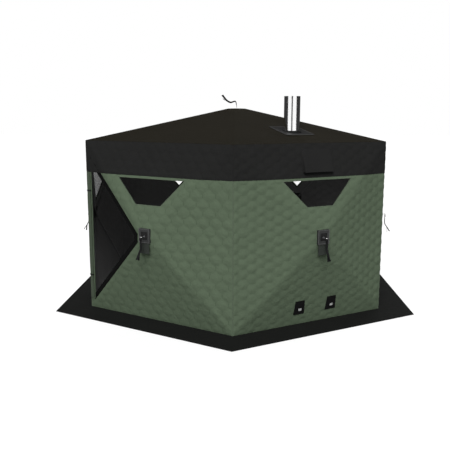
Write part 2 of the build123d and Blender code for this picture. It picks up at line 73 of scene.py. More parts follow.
print(f"side {SIDE:.3f}, eave {EAVE:.3f}, apex {APEX:.3f}, band {BAND_Z:.3f}, hubs out {POP:.3f}")


# %% [markdown]
# ## Helpers
# Every piece starts from a primitive, and an operator works on all that is selected. So each
# piece starts with nothing selected, and faces are then picked in code, by their place.

# %% Selecting and shaping
OPEN = {"end_fill_type": "NOTHING"}


def object_mode():
    """Leave edit mode."""
    if bpy.context.object and bpy.context.object.mode != "OBJECT":
        bpy.ops.object.mode_set(mode="OBJECT")


def start(*pieces):
    """Select these objects and no others, and make the first one active."""
    object_mode()
    bpy.ops.object.select_all(action="DESELECT")
    for piece in reversed(pieces):
        piece.select_set(True)
        bpy.context.view_layer.objects.active = piece


def add(kind, name, **settings):
    """A named primitive with its place in its mesh; a plane, cube or grid is 1 m unless told."""
    start()
    if kind in ("plane", "cube", "grid"):
        settings = {"size": 1, **settings}
    getattr(bpy.ops.mesh, f"primitive_{kind}_add")(**settings)
    bpy.ops.object.transform_apply(location=True, rotation=True, scale=True)
    piece = bpy.context.object
    piece.name = piece.data.name = name
    return piece


def tube(name, sides, radius, depth, location=(0, 0, 0), **settings):
    """A cylinder, or a prism with this many sides."""
    size = {"vertices": sides, "radius": radius, "depth": depth, "location": location}
    return add("cylinder", name, **size, **settings)


def pick_all(piece, mode="FACE"):
    """Open the piece in edit mode, if it isn't yet, and select all of it."""
    if piece.mode != "EDIT":
        start(piece)
        bpy.ops.object.mode_set(mode="EDIT")
    bpy.ops.mesh.select_mode(type=mode)
    bpy.ops.mesh.select_all(action="SELECT")


def pick(piece, kind, test):
    """Open the piece and select the faces, edges or verts that pass the test."""
    pick_all(piece, kind[:-1].upper())
    mesh = bmesh.from_edit_mesh(piece.data)
    for part in (mesh.verts, mesh.edges, mesh.faces):
        for item in part:
            item.select = False
    for item in getattr(mesh, kind):
        if test(item):
            item.select_set(True)
    bmesh.update_edit_mesh(piece.data)


def divide(piece, *cuts):
    """Cut every edge of the piece, once for each of these numbers of cuts."""
    pick_all(piece)
    for number in cuts:
        bpy.ops.mesh.subdivide(number_cuts=number)


def remove(piece, test):
    """Delete the faces that pass the test."""
    pick(piece, "faces", test)
    bpy.ops.mesh.delete(type="FACE")


def inset(width, *move):
    """Inset the picked faces, and move what is inside."""
    bpy.ops.mesh.inset(thickness=width)
    if move:
        bpy.ops.transform.translate(value=move)


def extrude(kind, *move):
    """Draw the picked region or edges out, and move them."""
    operator = getattr(bpy.ops.mesh, f"extrude_{kind}_move")
    operator(TRANSFORM_OT_translate={"value": move})


def use(piece, kind, **settings):
    """Add a modifier with these settings and apply it."""
    start(piece)
    modifier = piece.modifiers.new(kind.title(), kind)
    for key, value in settings.items():
        setattr(modifier, key, value)
    bpy.ops.object.modifier_apply(modifier=modifier.name)
    return piece


def bevel(piece, width, segments, angle=30):
    """Round the edges that are sharper than this angle, in degrees."""
    limit = {"limit_method": "ANGLE", "angle_limit": radians(angle)}
    return use(piece, "BEVEL", width=width, segments=segments, **limit)


def subtract(piece, hole):
    """Cut the shape of one piece out of another."""
    return use(piece, "BOOLEAN", operation="DIFFERENCE", object=hole, solver="EXACT")


def smooth(piece, angle):
    """Shade the piece smooth where its faces meet at less than this angle, in degrees."""
    start(piece)
    bpy.ops.object.shade_smooth_by_angle(angle=radians(angle))
    return piece


def joined(*pieces):
    """Join the pieces into the first one."""
    start(*pieces)
    bpy.ops.object.join()
    return pieces[0]


def twin(piece, name, place=Matrix()):
    """A copy with its own mesh, moved to another place."""
    object_mode()
    copy = piece.copy()
    copy.data = piece.data.copy()
    copy.name = copy.data.name = name
    bpy.context.collection.objects.link(copy)
    copy.data.transform(place)
    return copy


def discard(*pieces):
    """Remove pieces that were only patterns or tools."""
    for piece in pieces:
        bpy.data.objects.remove(piece)


def points_of(piece):
    """The mesh's points as a numpy array."""
    object_mode()
    values = np.empty(len(piece.data.vertices) * 3)
    piece.data.vertices.foreach_get("co", values)
    return values.reshape(-1, 3)


def put_points(piece, points):
    """Write the points back to the mesh."""
    piece.data.vertices.foreach_set("co", points.ravel())
    piece.data.update()


def wall_place(name):
    """From a wall's own frame, X along it, Y inwards and Z up, to its place in the hut."""
    turn = radians(WALLS[name])
    out = Matrix.Translation((APOTHEM * cos(turn), APOTHEM * sin(turn), 0))
    return out @ Matrix.Rotation(turn + pi / 2, 4, "Z")


def corner_place(name):
    """From the frame of the corner after a wall, with X out of the hut, to its place."""
    return Matrix.Rotation(radians(WALLS[name] + 30), 4, "Z") @ Matrix.Translation((SIDE, 0, 0))


# %% [markdown]
# A sheet is painted and given a thickness in one step. Its second material, if there is one,
# goes on the inside. Every finished piece rides on the one body of the hut.

# %% Finishing a piece
def paint(piece, *materials):
    """Give the piece these materials in this order."""
    object_mode()
    piece.data.materials.clear()
    for material in materials:
        piece.data.materials.append(material)


def sew(piece, thickness, *materials, angle=50, offset=-1, place=Matrix()):
    """Paint a sheet, turn it into cloth of this thickness and move it to its place."""
    paint(piece, *materials)
    use(piece, "SOLIDIFY", thickness=thickness, offset=offset, material_offset=1)
    smooth(piece, angle)
    piece.data.transform(place)
    return piece


def put(piece, slot, *nodes):
    """Ride on the hut and stand for these CAD nodes, which are hidden. The slot is not used."""
    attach(piece, "root")
    if nodes:
        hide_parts(*nodes)
    return piece


# %% [markdown]
# A material is a tree of nodes. Each input of a node is fed with a plain value or with the
# output of another node, so one helper does both.

# %% Node helpers
def feed(tree, made, *values, **named):
    """Feed a node's inputs, in order or by name, with plain values or with outputs."""
    keys = {key.replace("_", " "): value for key, value in named.items()}
    for key, value in (*enumerate(values), *keys.items()):
        if isinstance(value, bpy.types.NodeSocket):
            tree.links.new(value, made.inputs[key])
        else:
            made.inputs[key].default_value = value
    return made


def node(tree, kind, *values, **named):
    """A shader node of this kind, or a node group, with its inputs fed."""
    if isinstance(kind, str):
        return feed(tree, tree.nodes.new(f"ShaderNode{kind}"), *values, **named)
    made = tree.nodes.new("ShaderNodeGroup")
    made.node_tree = kind
    return feed(tree, made, *values, **named)


def math(tree, operation, *values, clamp=False):
    """The result of a math node."""
    made = node(tree, "Math", *values)
    made.operation = operation
    made.use_clamp = clamp
    return made.outputs[0]


def vector(tree, operation, *values, output="Vector"):
    """The result of a vector math node."""
    made = node(tree, "VectorMath", *values)
    made.operation = operation
    return made.outputs[output]


def mix(tree, kind, factor, first, second, blend="MIX"):
    """A mix of two colours or two vectors."""
    made = tree.nodes.new("ShaderNodeMix")
    made.data_type = kind
    made.blend_type = blend
    return feed(tree, made, Factor=factor, A=first, B=second).outputs["Result"]


def bump(tree, height, **named):
    """The normal of a surface with this height."""
    return node(tree, "Bump", Height=height, **named).outputs[0]


def noise_of(tree, place, scale, detail=3.0, stretch=None):
    """A noise texture on these coordinates, stretched if asked."""
    if stretch:
        place = node(tree, "Mapping", Vector=place, Scale=stretch).outputs[0]
    return node(tree, "TexNoise", Vector=place, Scale=scale, Detail=detail).outputs["Fac"]


def where(tree, kind="Object"):
    """Object or UV coordinates."""
    return node(tree, "TexCoord").outputs[kind]


def shaded(tree, color, spread, factor):
    """The colour, darker or lighter by up to this part of itself."""
    dark, light = [(*[c * level for c in color], 1) for level in (1 - spread, 1 + spread)]
    return mix(tree, "RGBA", factor, dark, light)


def finish_of(name, color, roughness, **sockets):
    """A material, its tree and its shader, with these plain values."""
    material = bpy.data.materials.new(name)
    material.use_nodes = True
    tree = material.node_tree
    shader = tree.nodes["Principled BSDF"]
    feed(tree, shader, Base_Color=(*color, 1), Roughness=roughness, **sockets)
    return material, tree, shader


def group(name, inputs, outputs):
    """A new node group and its two end nodes. Vector and Normal are vectors, the rest numbers."""
    made = bpy.data.node_groups.new(name, "ShaderNodeTree")
    for way, labels in (("INPUT", inputs), ("OUTPUT", outputs)):
        for label in labels:
            kind = "Vector" if label in ("Vector", "Normal") else "Float"
            made.interface.new_socket(label, in_out=way, socket_type=f"NodeSocket{kind}")
    return made, made.nodes.new("NodeGroupInput").outputs, made.nodes.new("NodeGroupOutput")


# %% [markdown]
# ## Camera, lights and floor
# The camera stands in front of one corner of the hut, a little above its roof, with a normal
# lens. The light is soft and comes mostly from above. A white background is drawn for what
# the camera, metal and glass see, while cloth is lit by a plainer, dimmer sky. A weak lamp
# inside keeps the lining at one even dark grey behind the doorway and the windows. The floor
# inside the hut is painted dark, as painted shade. Stainless steel needs something dark to
# reflect, so dark cards stand round the hut that only metal sees.

# %% Camera
LENS, SENSOR, SHIFT = 49.17, 36.0, -0.0249
EYE = (0.1132, -7.1353, 1.991)
TILT, AIM, TWIST = radians(80.0), radians(0.909), radians(0.2335)


def stand(name, data, location=(0, 0, 0), rotation=(0, 0, 0)):
    """Put a camera or a lamp in the scene."""
    made = bpy.data.objects.new(name, data)
    bpy.context.collection.objects.link(made)
    made.location, made.rotation_euler = location, rotation
    return made


turn = Euler((TILT, 0, AIM)).to_matrix() @ Matrix.Rotation(TWIST, 3, "Z")
camera = stand("camera", bpy.data.cameras.new("camera"), EYE, turn.to_euler())
camera.data.lens, camera.data.sensor_width, camera.data.shift_x = LENS, SENSOR, SHIFT
bpy.context.scene.camera = camera
bpy.context.scene.view_settings.view_transform = "Standard"
print("camera at", [round(v, 3) for v in camera.location])

# %% Lights and sky
SKY, WHITE = 0.30, 1.0
LAMP_PLACE, LAMP_POWER, LAMP_SIZE = (0.45, -0.10, 0.35), 8.2, 0.4


def sun(name, strength, azimuth, elevation, spread):
    """A soft sun that shines from this azimuth, with 0 behind the camera, and elevation."""
    turn = (radians(90 - elevation), 0, radians(azimuth))
    light = stand(name, bpy.data.lights.new(name, "SUN"), rotation=turn)
    light.data.energy, light.data.angle = strength, radians(spread)


def sees_white(tree):
    """A value of 1 for what the camera, glass and metal see directly."""
    path = node(tree, "LightPath").outputs
    first = math(tree, "MAXIMUM", path["Is Camera Ray"], path["Is Glossy Ray"])
    return math(tree, "MAXIMUM", first, path["Is Transmission Ray"])


sun("key_light", 3.1, -4, 44, 35)
sun("back_light", 1.3, 170, 45, 50)
inside = stand("inside_light", bpy.data.lights.new("inside_light", "POINT"), LAMP_PLACE)
inside.data.energy, inside.data.shadow_soft_size = LAMP_POWER, LAMP_SIZE
inside.visible_camera = inside.visible_glossy = inside.visible_transmission = False
world = bpy.context.scene.world or bpy.data.worlds.new("world")
bpy.context.scene.world = world
world.use_nodes = True
sky = world.node_tree
sky.nodes.clear()
plain, white = [
    node(sky, "Background", Color=(1, 1, 1, 1), Strength=level).outputs[0]
    for level in (SKY, WHITE)
]
chosen = node(sky, "MixShader", sees_white(sky), plain, white)
node(sky, "OutputWorld", Surface=chosen.outputs[0])
print("lights:", [light.name for light in bpy.data.lights])

# %% Floor that keeps the shadow
FLOOR_GREY, FLOOR_GLOW = 0.26, 0.76
# Under the hut the floor is painted dark: painted shade inside the hut.
PAINTED_SHADE_FLOOR, DARK_RADIUS, DARK_EDGE = 0.04, 1.80, 0.02
floor = add("plane", "floor", size=120, location=(0, 0, -0.001))
floor_paint, tree, matt = finish_of("floor_paint", (1, 1, 1), 1.0, Specular_IOR_Level=0.0)
shade = node(
    tree, "MapRange", Value=vector(tree, "LENGTH", where(tree), output="Value"),
    From_Min=DARK_RADIUS - DARK_EDGE, From_Max=DARK_RADIUS + DARK_EDGE,
    To_Min=PAINTED_SHADE_FLOOR, To_Max=FLOOR_GREY,
)
feed(tree, matt, Base_Color=shade.outputs["Result"])
glow = node(tree, "Emission", Strength=math(tree, "MULTIPLY", sees_white(tree), FLOOR_GLOW))
both = node(tree, "AddShader", matt.outputs[0], glow.outputs[0])
feed(tree, tree.nodes["Material Output"], Surface=both.outputs[0])
paint(floor, floor_paint)

# %% Dark cards that only gloss reflects
CARD_RADIUS, CARD_HIGH, CARD_MIDDLE, CARD_GREY = 9.0, 8, 4.1, 0.036
OPEN_FROM, OPEN_TO = 9, 55


def card_turn(face):
    """Angle of a face of the ring from the camera's side, in degrees."""
    middle = face.calc_center_median()
    return abs(atan2(middle.x, -middle.y)) * 180 / pi


def is_gap(face):
    """Whether a face is the ring's foot or in one of its two gaps."""
    upright = abs(face.normal.z) < 0.5
    return face.normal.z < -0.5 or upright and OPEN_FROM < card_turn(face) < OPEN_TO


cards = tube("cards", 90, CARD_RADIUS, CARD_HIGH, (0, 0, CARD_MIDDLE))
remove(cards, is_gap)
card_paint, tree, matt = finish_of("card_paint", (1, 1, 1), 1.0)
tree.nodes.remove(matt)
shade = node(tree, "Emission", Color=(1, 1, 1, 1), Strength=CARD_GREY)
feed(tree, tree.nodes["Material Output"], Surface=shade.outputs[0])
paint(cards, card_paint)
for ray in ("camera", "diffuse", "transmission", "volume_scatter", "shadow"):
    setattr(cards, f"visible_{ray}", False)
print("stage: floor and cards")

# %% [markdown]
# ## Shared effects
# Three effects turn up in most of the finishes, so each is a node group: a fine weave, a slow
# mottling from handling and folding, and the sewn lattice of the quilt. A group gives out
# masks, heights and normals only, and the shader stays in the material.

# %% Weave: two crossing sets of threads
weave, ends, out = group("weave", ("Vector", "Threads", "Strength", "Normal"), ("Normal",))
split = node(weave, "SeparateXYZ", ends["Vector"]).outputs
waves = []
for axis in "XYZ":
    turned = math(weave, "MULTIPLY", split[axis], ends["Threads"])
    waves.append(math(weave, "SINE", math(weave, "MULTIPLY", turned, 2 * pi)))
first, second = [math(weave, "MULTIPLY", wave, waves[2]) for wave in waves[:2]]
threads = {"Distance": 0.0004, "Strength": ends["Strength"], "Normal": ends["Normal"]}
feed(weave, out, Normal=bump(weave, math(weave, "ADD", first, second), **threads))

# %% Mottling: slow changes of shade, and soft creases
mottle, ends, out = group("mottle", ("Vector", "Scale", "Creases"), ("Shade", "Normal"))
slow = noise_of(mottle, ends["Vector"], ends["Scale"], 4.0)
crease = noise_of(mottle, ends["Vector"], math(mottle, "MULTIPLY", ends["Scale"], 2.3), 2.0)
crease = math(mottle, "ABSOLUTE", math(mottle, "SUBTRACT", crease, 0.5))
feed(mottle, out, Shade=slow, Normal=bump(mottle, crease, Distance=ends["Creases"]))

# %% Quilt: rows of six-sided cells, every second row half a cell along
quilt, ends, out = group("quilt_cells", ("Vector", "Pitch", "Row"), ("Edge", "Side"))
two_rows = math(quilt, "MULTIPLY", ends["Row"], 2.0)
size = node(quilt, "CombineXYZ", ends["Pitch"], two_rows, 1.0).outputs[0]


def from_centre(shift):
    """Way to a place from its cell's centre, in every second row, and its length squared."""
    steps = vector(quilt, "DIVIDE", ends["Vector"], size)
    steps = vector(quilt, "FRACTION", vector(quilt, "ADD", steps, (shift, shift, 0)))
    part = vector(quilt, "SUBTRACT", steps, (0.5, 0.5, 0.5))
    flat = vector(quilt, "MULTIPLY", vector(quilt, "MULTIPLY", part, size), (1, 1, 0))
    return flat, vector(quilt, "DOT_PRODUCT", flat, flat, output="Value")


(even, even_square), (odd, odd_square) = from_centre(0.5), from_centre(0.0)
reach = vector(quilt, "LENGTH", vector(quilt, "MULTIPLY", size, (1, 1, 0)), output="Value")
slant = math(quilt, "ABSOLUTE", math(quilt, "SUBTRACT", even_square, odd_square))
slant = math(quilt, "DIVIDE", slant, reach)
nearer = math(quilt, "GREATER_THAN", even_square, odd_square)
along = node(quilt, "SeparateXYZ", mix(quilt, "VECTOR", nearer, even, odd)).outputs["X"]
half = math(quilt, "DIVIDE", ends["Pitch"], 2.0)
side = math(quilt, "SUBTRACT", half, math(quilt, "ABSOLUTE", along))
beyond = math(quilt, "LESS_THAN", slant, 0.002)
feed(quilt, out, Edge=math(quilt, "MINIMUM", slant, side), Side=math(quilt, "ADD", side, beyond))
print("node groups:", [made.name for made in bpy.data.node_groups])


# %% [markdown]
# ## Finishes
# Most of the hut is cloth: a matt base colour, darker where it is sewn down, with the weave as
# a bump. Numbers that are the same all over a surface are set on the shader's own sockets.

# %% Cloth
CLOTH_ROUGH, QUILT_ROUGH = 0.9, 0.88
CLOTH_SHADES, QUILT_SHADES, HARD_SHADES = 0.14, 0.08, 0.08


def cloth(name, color, threads=420, depth=0.25, scale=3.0, creases=0.006, **sockets):
    """Woven cloth with mottling and creases."""
    values = {"Specular_IOR_Level": 0.18, "Sheen_Weight": 0.06, "Sheen_Roughness": 0.5, **sockets}
    material, tree, shader = finish_of(name, color, CLOTH_ROUGH, **values)
    at = where(tree)
    folds = node(tree, mottle, Vector=at, Scale=scale, Creases=creases).outputs
    woven = {"Threads": float(threads), "Strength": depth, "Normal": folds["Normal"]}
    normal = node(tree, weave, Vector=at, **woven).outputs["Normal"]
    tint = shaded(tree, color, CLOTH_SHADES, folds["Shade"])
    feed(tree, shader, Base_Color=tint, Normal=normal)
    return material


MATT = {"Specular_IOR_Level": 0.06, "Sheen_Weight": 0.0}
SEWN = {"threads": 600, "scale": 10.0, "creases": 0.001}
GREEN = (0.0975, 0.1310, 0.0860)
BLACK = (0.0168, 0.0169, 0.0165)
roof_cloth = cloth("roof_cloth", (0.0113, 0.0096, 0.0058), scale=2.5, creases=0.004, **MATT)
skirt_cloth = cloth("skirt_cloth", (0.0100, 0.0104, 0.0099), scale=3.5, **MATT)
liner_cloth = cloth("liner_cloth", (0.1500, 0.1500, 0.1490), scale=3.0, **MATT)
flap_cloth = cloth("flap_cloth", (0.0260, 0.0310, 0.0260), scale=14.0, creases=0.002)
port_cloth = cloth("port_cloth", (0.0070, 0.0070, 0.0070), scale=14.0, creases=0.002, **MATT)
hood_cloth = cloth("hood_cloth", (0.0165, 0.0165, 0.0163), scale=5.0, creases=0.003, **MATT)
# The zip flap is black cloth painted darker than the band: black plus painted shade along the
# doorway.
zip_cloth_and_shade = cloth("zip_cloth_and_shade", (0.0040, 0.0041, 0.0040), scale=8.0, creases=0.002, **MATT)
pale_tab = cloth("pale_tab", (0.44, 0.45, 0.44), threads=900, scale=60.0, creases=0.0003)
green_tape = cloth("green_tape", [c * 0.9 for c in GREEN], **SEWN)
# The rolled door is the walls' green painted darker: painted shade on the roll.
shaded_roll_cloth = cloth("shaded_roll_cloth", [c * 0.56 for c in GREEN], **SEWN)
coarse = {"threads": 700, "depth": 0.6, "scale": 30.0, "creases": 0.0005}
webbing = cloth("webbing", (0.0130, 0.0135, 0.0135), **coarse, **MATT)

# %% Quilted fabric, green and black, in two sizes of cell
CELLS = {
    "wide": {"pitch": 0.1240, "row": 0.0830, "start": (0.0277, -0.0419)},
    "tall": {"pitch": 0.0960, "row": 0.0845, "start": (-0.0423, -0.0190)},
}
LINE_WIDTH, DASH_WIDTH = 0.006, 0.005
SEWN_SHADE, SEWN_PART = (0.66, 0.70, 0.66, 1), 0.12


def quilted(name, color, kind, gloss, dashes):
    """Quilted cloth: darker in the sewn lines, with puckers round them."""
    material, tree, shader = finish_of(name, color, QUILT_ROUGH, **gloss)
    at = where(tree, "UV")
    pitch, row = CELLS[kind]["pitch"], CELLS[kind]["row"]
    folds = node(tree, mottle, Vector=at, Scale=5.0, Creases=0.010).outputs
    cells = node(tree, quilt, Vector=at, Pitch=pitch, Row=row).outputs
    near, dash = [
        math(tree, "SUBTRACT", 1.0, math(tree, "DIVIDE", cells[gap], width), clamp=True)
        for gap, width in (("Edge", LINE_WIDTH), ("Side", DASH_WIDTH))
    ]
    sewn = node(tree, "Bump", Height=near, Strength=0.3, Distance=0.001, Normal=folds["Normal"])
    sewn.invert = True
    woven = node(tree, weave, Vector=at, Threads=380.0, Strength=0.2, Normal=sewn.outputs[0])
    near, dash = math(tree, "MULTIPLY", near, SEWN_PART), math(tree, "MULTIPLY", dash, dashes)
    plain = shaded(tree, color, QUILT_SHADES, folds["Shade"])
    dark = mix(tree, "RGBA", math(tree, "MAXIMUM", near, dash), plain, SEWN_SHADE, "MULTIPLY")
    feed(tree, shader, Base_Color=dark, Normal=woven.outputs["Normal"])
    return material


SOFT = {"Specular_IOR_Level": 0.03, "Sheen_Weight": 0.0}
DASHES = {"wide": 0.9, "tall": 0.35}
green_quilt = {
    kind: quilted(f"green_{kind}_quilt", GREEN, kind, SOFT, DASHES[kind]) for kind in CELLS
}
black_quilt = {
    kind: quilted(f"black_{kind}_quilt", BLACK, kind, MATT, 0.4) for kind in CELLS
}
print("cloths:", len(bpy.data.materials), "materials")


# %% [markdown]
# ## Hard finishes
# The hard parts are few and small: bright steel bolts, a brushed stainless pipe, moulded
# nylon, glass fibre rods and clear vinyl. Each has fine scratches or a grain in its roughness.

# %% Metal, plastic and vinyl
def hard(name, color, roughness, scale, stretch=None, change=0.12, depth=0.0002, **sockets):
    """A hard finish with a fine grain in its roughness and a slight unevenness."""
    material, tree, shader = finish_of(name, color, roughness, **sockets)
    grain = noise_of(tree, where(tree), scale, 5.0, stretch)
    rough = math(tree, "MULTIPLY", math(tree, "SUBTRACT", grain, 0.5), 2 * change)
    rough = math(tree, "ADD", rough, roughness, clamp=True)
    tint, normal = shaded(tree, color, HARD_SHADES, grain), bump(tree, grain, Distance=depth)
    feed(tree, shader, Roughness=rough, Base_Color=tint, Normal=normal)
    return material


def moulded(name, color, roughness, scale, gloss, **settings):
    """A hard finish that isn't metal."""
    return hard(name, color, roughness, scale, Specular_IOR_Level=gloss, **settings)


BRUSHED = {"stretch": (1, 1, 0.02), "change": 0.04, "depth": 0.00003}
stainless = hard("stainless", (0.95, 0.95, 0.95), 0.14, 30.0, **BRUSHED, Metallic=1.0)
bright_steel = hard("bright_steel", (0.88, 0.88, 0.88), 0.28, 80.0, Metallic=1.0)
alloy = hard("alloy", (0.20, 0.20, 0.21), 0.45, 120.0, Metallic=1.0)
nylon = moulded("nylon", (0.090, 0.090, 0.091), 0.6, 200.0, 0.1)
rod_glass = moulded("rod_glass", (0.180, 0.180, 0.181), 0.6, 90.0, 0.1, stretch=(1, 1, 0.1))
pin_steel = moulded("pin_steel", (0.100, 0.100, 0.101), 0.6, 120.0, 0.2)
pocket_black = moulded("pocket_black", (0.006, 0.006, 0.006), 0.6, 160.0, 0.2)
plate_grey = moulded("plate_grey", (0.026, 0.027, 0.027), 0.5, 160.0, 0.25)
rim_grey = moulded("rim_grey", (0.048, 0.049, 0.048), 0.28, 160.0, 0.5, change=0.05)
heat_plate = moulded("heat_plate", (0.016, 0.016, 0.016), 0.6, 50.0, 0.15)
heat_rim = moulded("heat_rim", (0.030, 0.030, 0.030), 0.7, 50.0, 0.3)
boot_rubber = moulded("boot_rubber", (0.010, 0.010, 0.010), 0.7, 80.0, 0.2)

# %% [markdown]
# Clear vinyl lets light straight through where it is seen square on. Where it is seen at a
# slant it turns to its own dark colour: partly real haze, partly a painted dark reflection.

# %% Vinyl
VINYL = (0.020, 0.021, 0.020)
vinyl, tree, shader = finish_of("vinyl", VINYL, 0.25, Specular_IOR_Level=0.1)
facing = node(tree, "LayerWeight", Blend=0.5).outputs["Facing"]
# Seen at a slant the vinyl shows its dark colour: some haze, and a painted dark reflection.
haze_and_reflection = math(tree, "MULTIPLY", math(tree, "POWER", facing, 3.0), 1.3)
cloudy = noise_of(tree, where(tree), 2.0)
haze_and_reflection = math(tree, "ADD", haze_and_reflection, math(tree, "MULTIPLY", cloudy, 0.05), clamp=True)
feed(tree, shader, Alpha=haze_and_reflection, Base_Color=shaded(tree, VINYL, 0.1, cloudy))
print("hard finishes ready")


# %% [markdown]
# ## A wall
# A wall is a square sheet with its middle pushed out. A plane is poked, which adds a point in
# the middle, and that point is moved out to the hub. Many cuts then give enough mesh for the
# quilt. The window and the doorway are cut with bisect: straight lines right through the
# selected faces, after which the faces inside the outline are deleted.

# %% The bare wall
FINE, COARSE = 110, 23


def wall_sheet(name, cuts):
    """A square wall with its middle pushed out and this many cuts in each edge."""
    piece = add("plane", name, size=SIDE, location=(0, 0, HUB_Z), rotation=UPRIGHT)
    pick_all(piece)
    bpy.ops.mesh.poke()
    pick(piece, "verts", lambda v: abs(v.co.x) + abs(v.co.z - HUB_Z) < 0.001)
    bpy.ops.transform.translate(value=(0, -POP, 0))
    divide(piece, cuts)
    object_mode()
    return piece


bare_wall = wall_sheet("bare_wall", FINE)
plain_wall = wall_sheet("plain_wall", COARSE)
print("bare wall:", len(bare_wall.data.polygons), "triangles")


# %% Cutting along an outline
def facet_of(x, z):
    """Name of the facet at this place of a wall."""
    rise = z - HUB_Z
    if abs(rise) >= abs(x):
        return "top" if rise > 0 else "bottom"
    return "right" if x > 0 else "left"


def sides_of(outline):
    """The two ends of each side of an outline, and the side's length."""
    pairs = zip(outline, outline[1:] + outline[:1])
    return [(x0, z0, x1, z1, hypot(x1 - x0, z1 - z0)) for (x0, z0), (x1, z1) in pairs]


def edges_of(outline):
    """Each side as a point and the direction that leads out of the outline."""
    return [
        (x0, z0, (z1 - z0) / length, (x0 - x1) / length)
        for x0, z0, x1, z1, length in sides_of(outline)
    ]


def length_of(outline):
    """Length right round an outline."""
    return sum(side[4] for side in sides_of(outline))


def area_of(outline):
    """Area of a flat outline."""
    return abs(sum(x0 * z1 - x1 * z0 for x0, z0, x1, z1, _ in sides_of(outline))) / 2


def outside(outline, x, z):
    """How far a place is outside a convex outline; inside is negative."""
    most = -10.0
    for x0, z0, nx, nz in edges_of(outline):
        most = np.maximum(most, (x - x0) * nx + (z - z0) * nz)
    return most


def carve(piece, facet, outline, inner=True):
    """Cut along an outline, right through one facet, and delete what is inside or outside it."""
    def on_facet(face):
        middle = face.calc_center_median()
        return facet_of(middle.x, middle.z) == facet

    def within(face):
        middle = face.calc_center_median()
        return outside(outline, middle.x, middle.z) < -1e-5

    for x0, z0, nx, nz in edges_of(outline):
        pick(piece, "faces", on_facet)
        bpy.ops.mesh.bisect(plane_co=(x0, 0, z0), plane_no=(nx, 0, nz))
    remove(piece, lambda face: within(face) == inner)


def strip_of(name, facet, outer, inner):
    """The part of a facet inside one outline and outside another."""
    piece = twin(plain_wall, name)
    carve(piece, facet, outer, inner=False)
    carve(piece, facet, inner)
    return piece


# %% Outlines of the windows and the doorway
WINDOW_TIP, WINDOW_TOP = [corner.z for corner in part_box("window_panes")]
WINDOW_HALF, WINDOW_LOW = 0.391, 1.166
DOOR_EDGE, DOOR_TIP = -0.810, -0.100
DOOR_ABOVE, DOOR_BELOW = 0.090, 0.025


def window_outline(pointed, grow=0.0):
    """A window or a line round it: a triangle on its tip, cut off straight at the front."""
    slope = WINDOW_HALF / (WINDOW_TOP - WINDOW_TIP)
    top = WINDOW_TOP + grow
    tip = WINDOW_TIP - grow * hypot(1, slope) / slope
    half = slope * (top - tip)
    if pointed:
        return [(half, top), (-half, top), (0, tip)]
    low = WINDOW_LOW - grow
    return [(half, top), (-half, top), (-slope * (low - tip), low), (slope * (low - tip), low)]


def door_outline(shrink=0.0):
    """The doorway, a triangle with its tip cut off, or a line inside it."""
    drop = shrink * sqrt(2)
    low = HUB_Z + DOOR_BELOW + drop
    high = HUB_Z - DOOR_ABOVE - drop
    tip = DOOR_TIP - shrink
    edge = DOOR_EDGE
    return [(edge, low + edge), (tip, low + tip), (tip, high - tip), (edge, high - edge)]


print("doorway", [(round(x, 3), round(z, 3)) for x, z in door_outline()])


# %% [markdown]
# The fabric is pulled tight over the rods, so the folds are straight and the facets sag a
# little between them. Inside each sewn cell the padding swells, steep at the sewn line and
# flat in the middle. Both are worked out for each point from its place on the wall. The
# swelling dies away at folds and edges, where the quilt is sewn flat.

# %% Shape of the fabric
FABRIC, LOFT, SAG, FADE = 0.008, 0.0050, 0.008, 0.022
SUNK, FULLNESS, SIDE_FULL, FOOT_FULL = 0.72, 0.85, 1.15, 0.65
SLOW_WAVE, QUICK_WAVE = 0.16, 0.14


def ease(value, width):
    """0 at an edge, rising smoothly to 1 at this distance from it."""
    t = np.clip(value / width, 0, 1)
    return t * t * (3 - 2 * t)


def tight(x, z):
    """How far the fabric stands out of the wall's flat frame, with its sag."""
    reach = np.maximum(np.abs(x), np.abs(z - HUB_Z)) / HALF
    across = np.minimum(np.abs(x), np.abs(z - HUB_Z)) / HALF
    return POP * (1 - reach) - SAG * 4 * (reach - across) * reach * (1 - reach)


def on_wall(x, z, lift=0.0):
    """A point on a wall, in the wall's frame."""
    return Vector((x, -float(tight(x, z)) - lift, z))


def quilt_place(x, z, kind):
    """Place along and across the rows of cells, which run level or upright."""
    first, second = CELLS[kind]["start"]
    return (x - first, z - second) if kind == "wide" else (z - first, x - second)


def padding(x, z, kind):
    """Height of the padding: a dome in each cell, fuller at its foot, where it has sunk."""
    u, v = quilt_place(x, z, kind)
    pitch, row = CELLS[kind]["pitch"], CELLS[kind]["row"]
    reach = hypot(pitch / 2, row)
    heights = []
    for shift in (0.5, 0.0):
        du = ((u / pitch + shift) % 1 - 0.5) * pitch
        dv = ((v / (2 * row) + shift) % 1 - 0.5) * 2 * row
        dome = np.clip(1 - (2 * du / pitch) ** 2, 0, 1)
        for way in (1, -1):
            along = (du * pitch / 2 + way * dv * row) / reach
            dome = dome * np.clip(1 - (2 * along / reach) ** 2, 0, 1)
        up = dv / (reach * reach / (2 * row)) if kind == "wide" else du / (pitch / 2)
        heights.append(dome**FULLNESS * (1 - SUNK * up))
    slow = SLOW_WAVE * np.sin(9.1 * u + 1.3) * np.sin(7.7 * v + 0.4)
    quick = QUICK_WAVE * np.sin(31 * u) * np.sin(27 * v + 1)
    return np.maximum(*heights) * (1 + slow + quick)


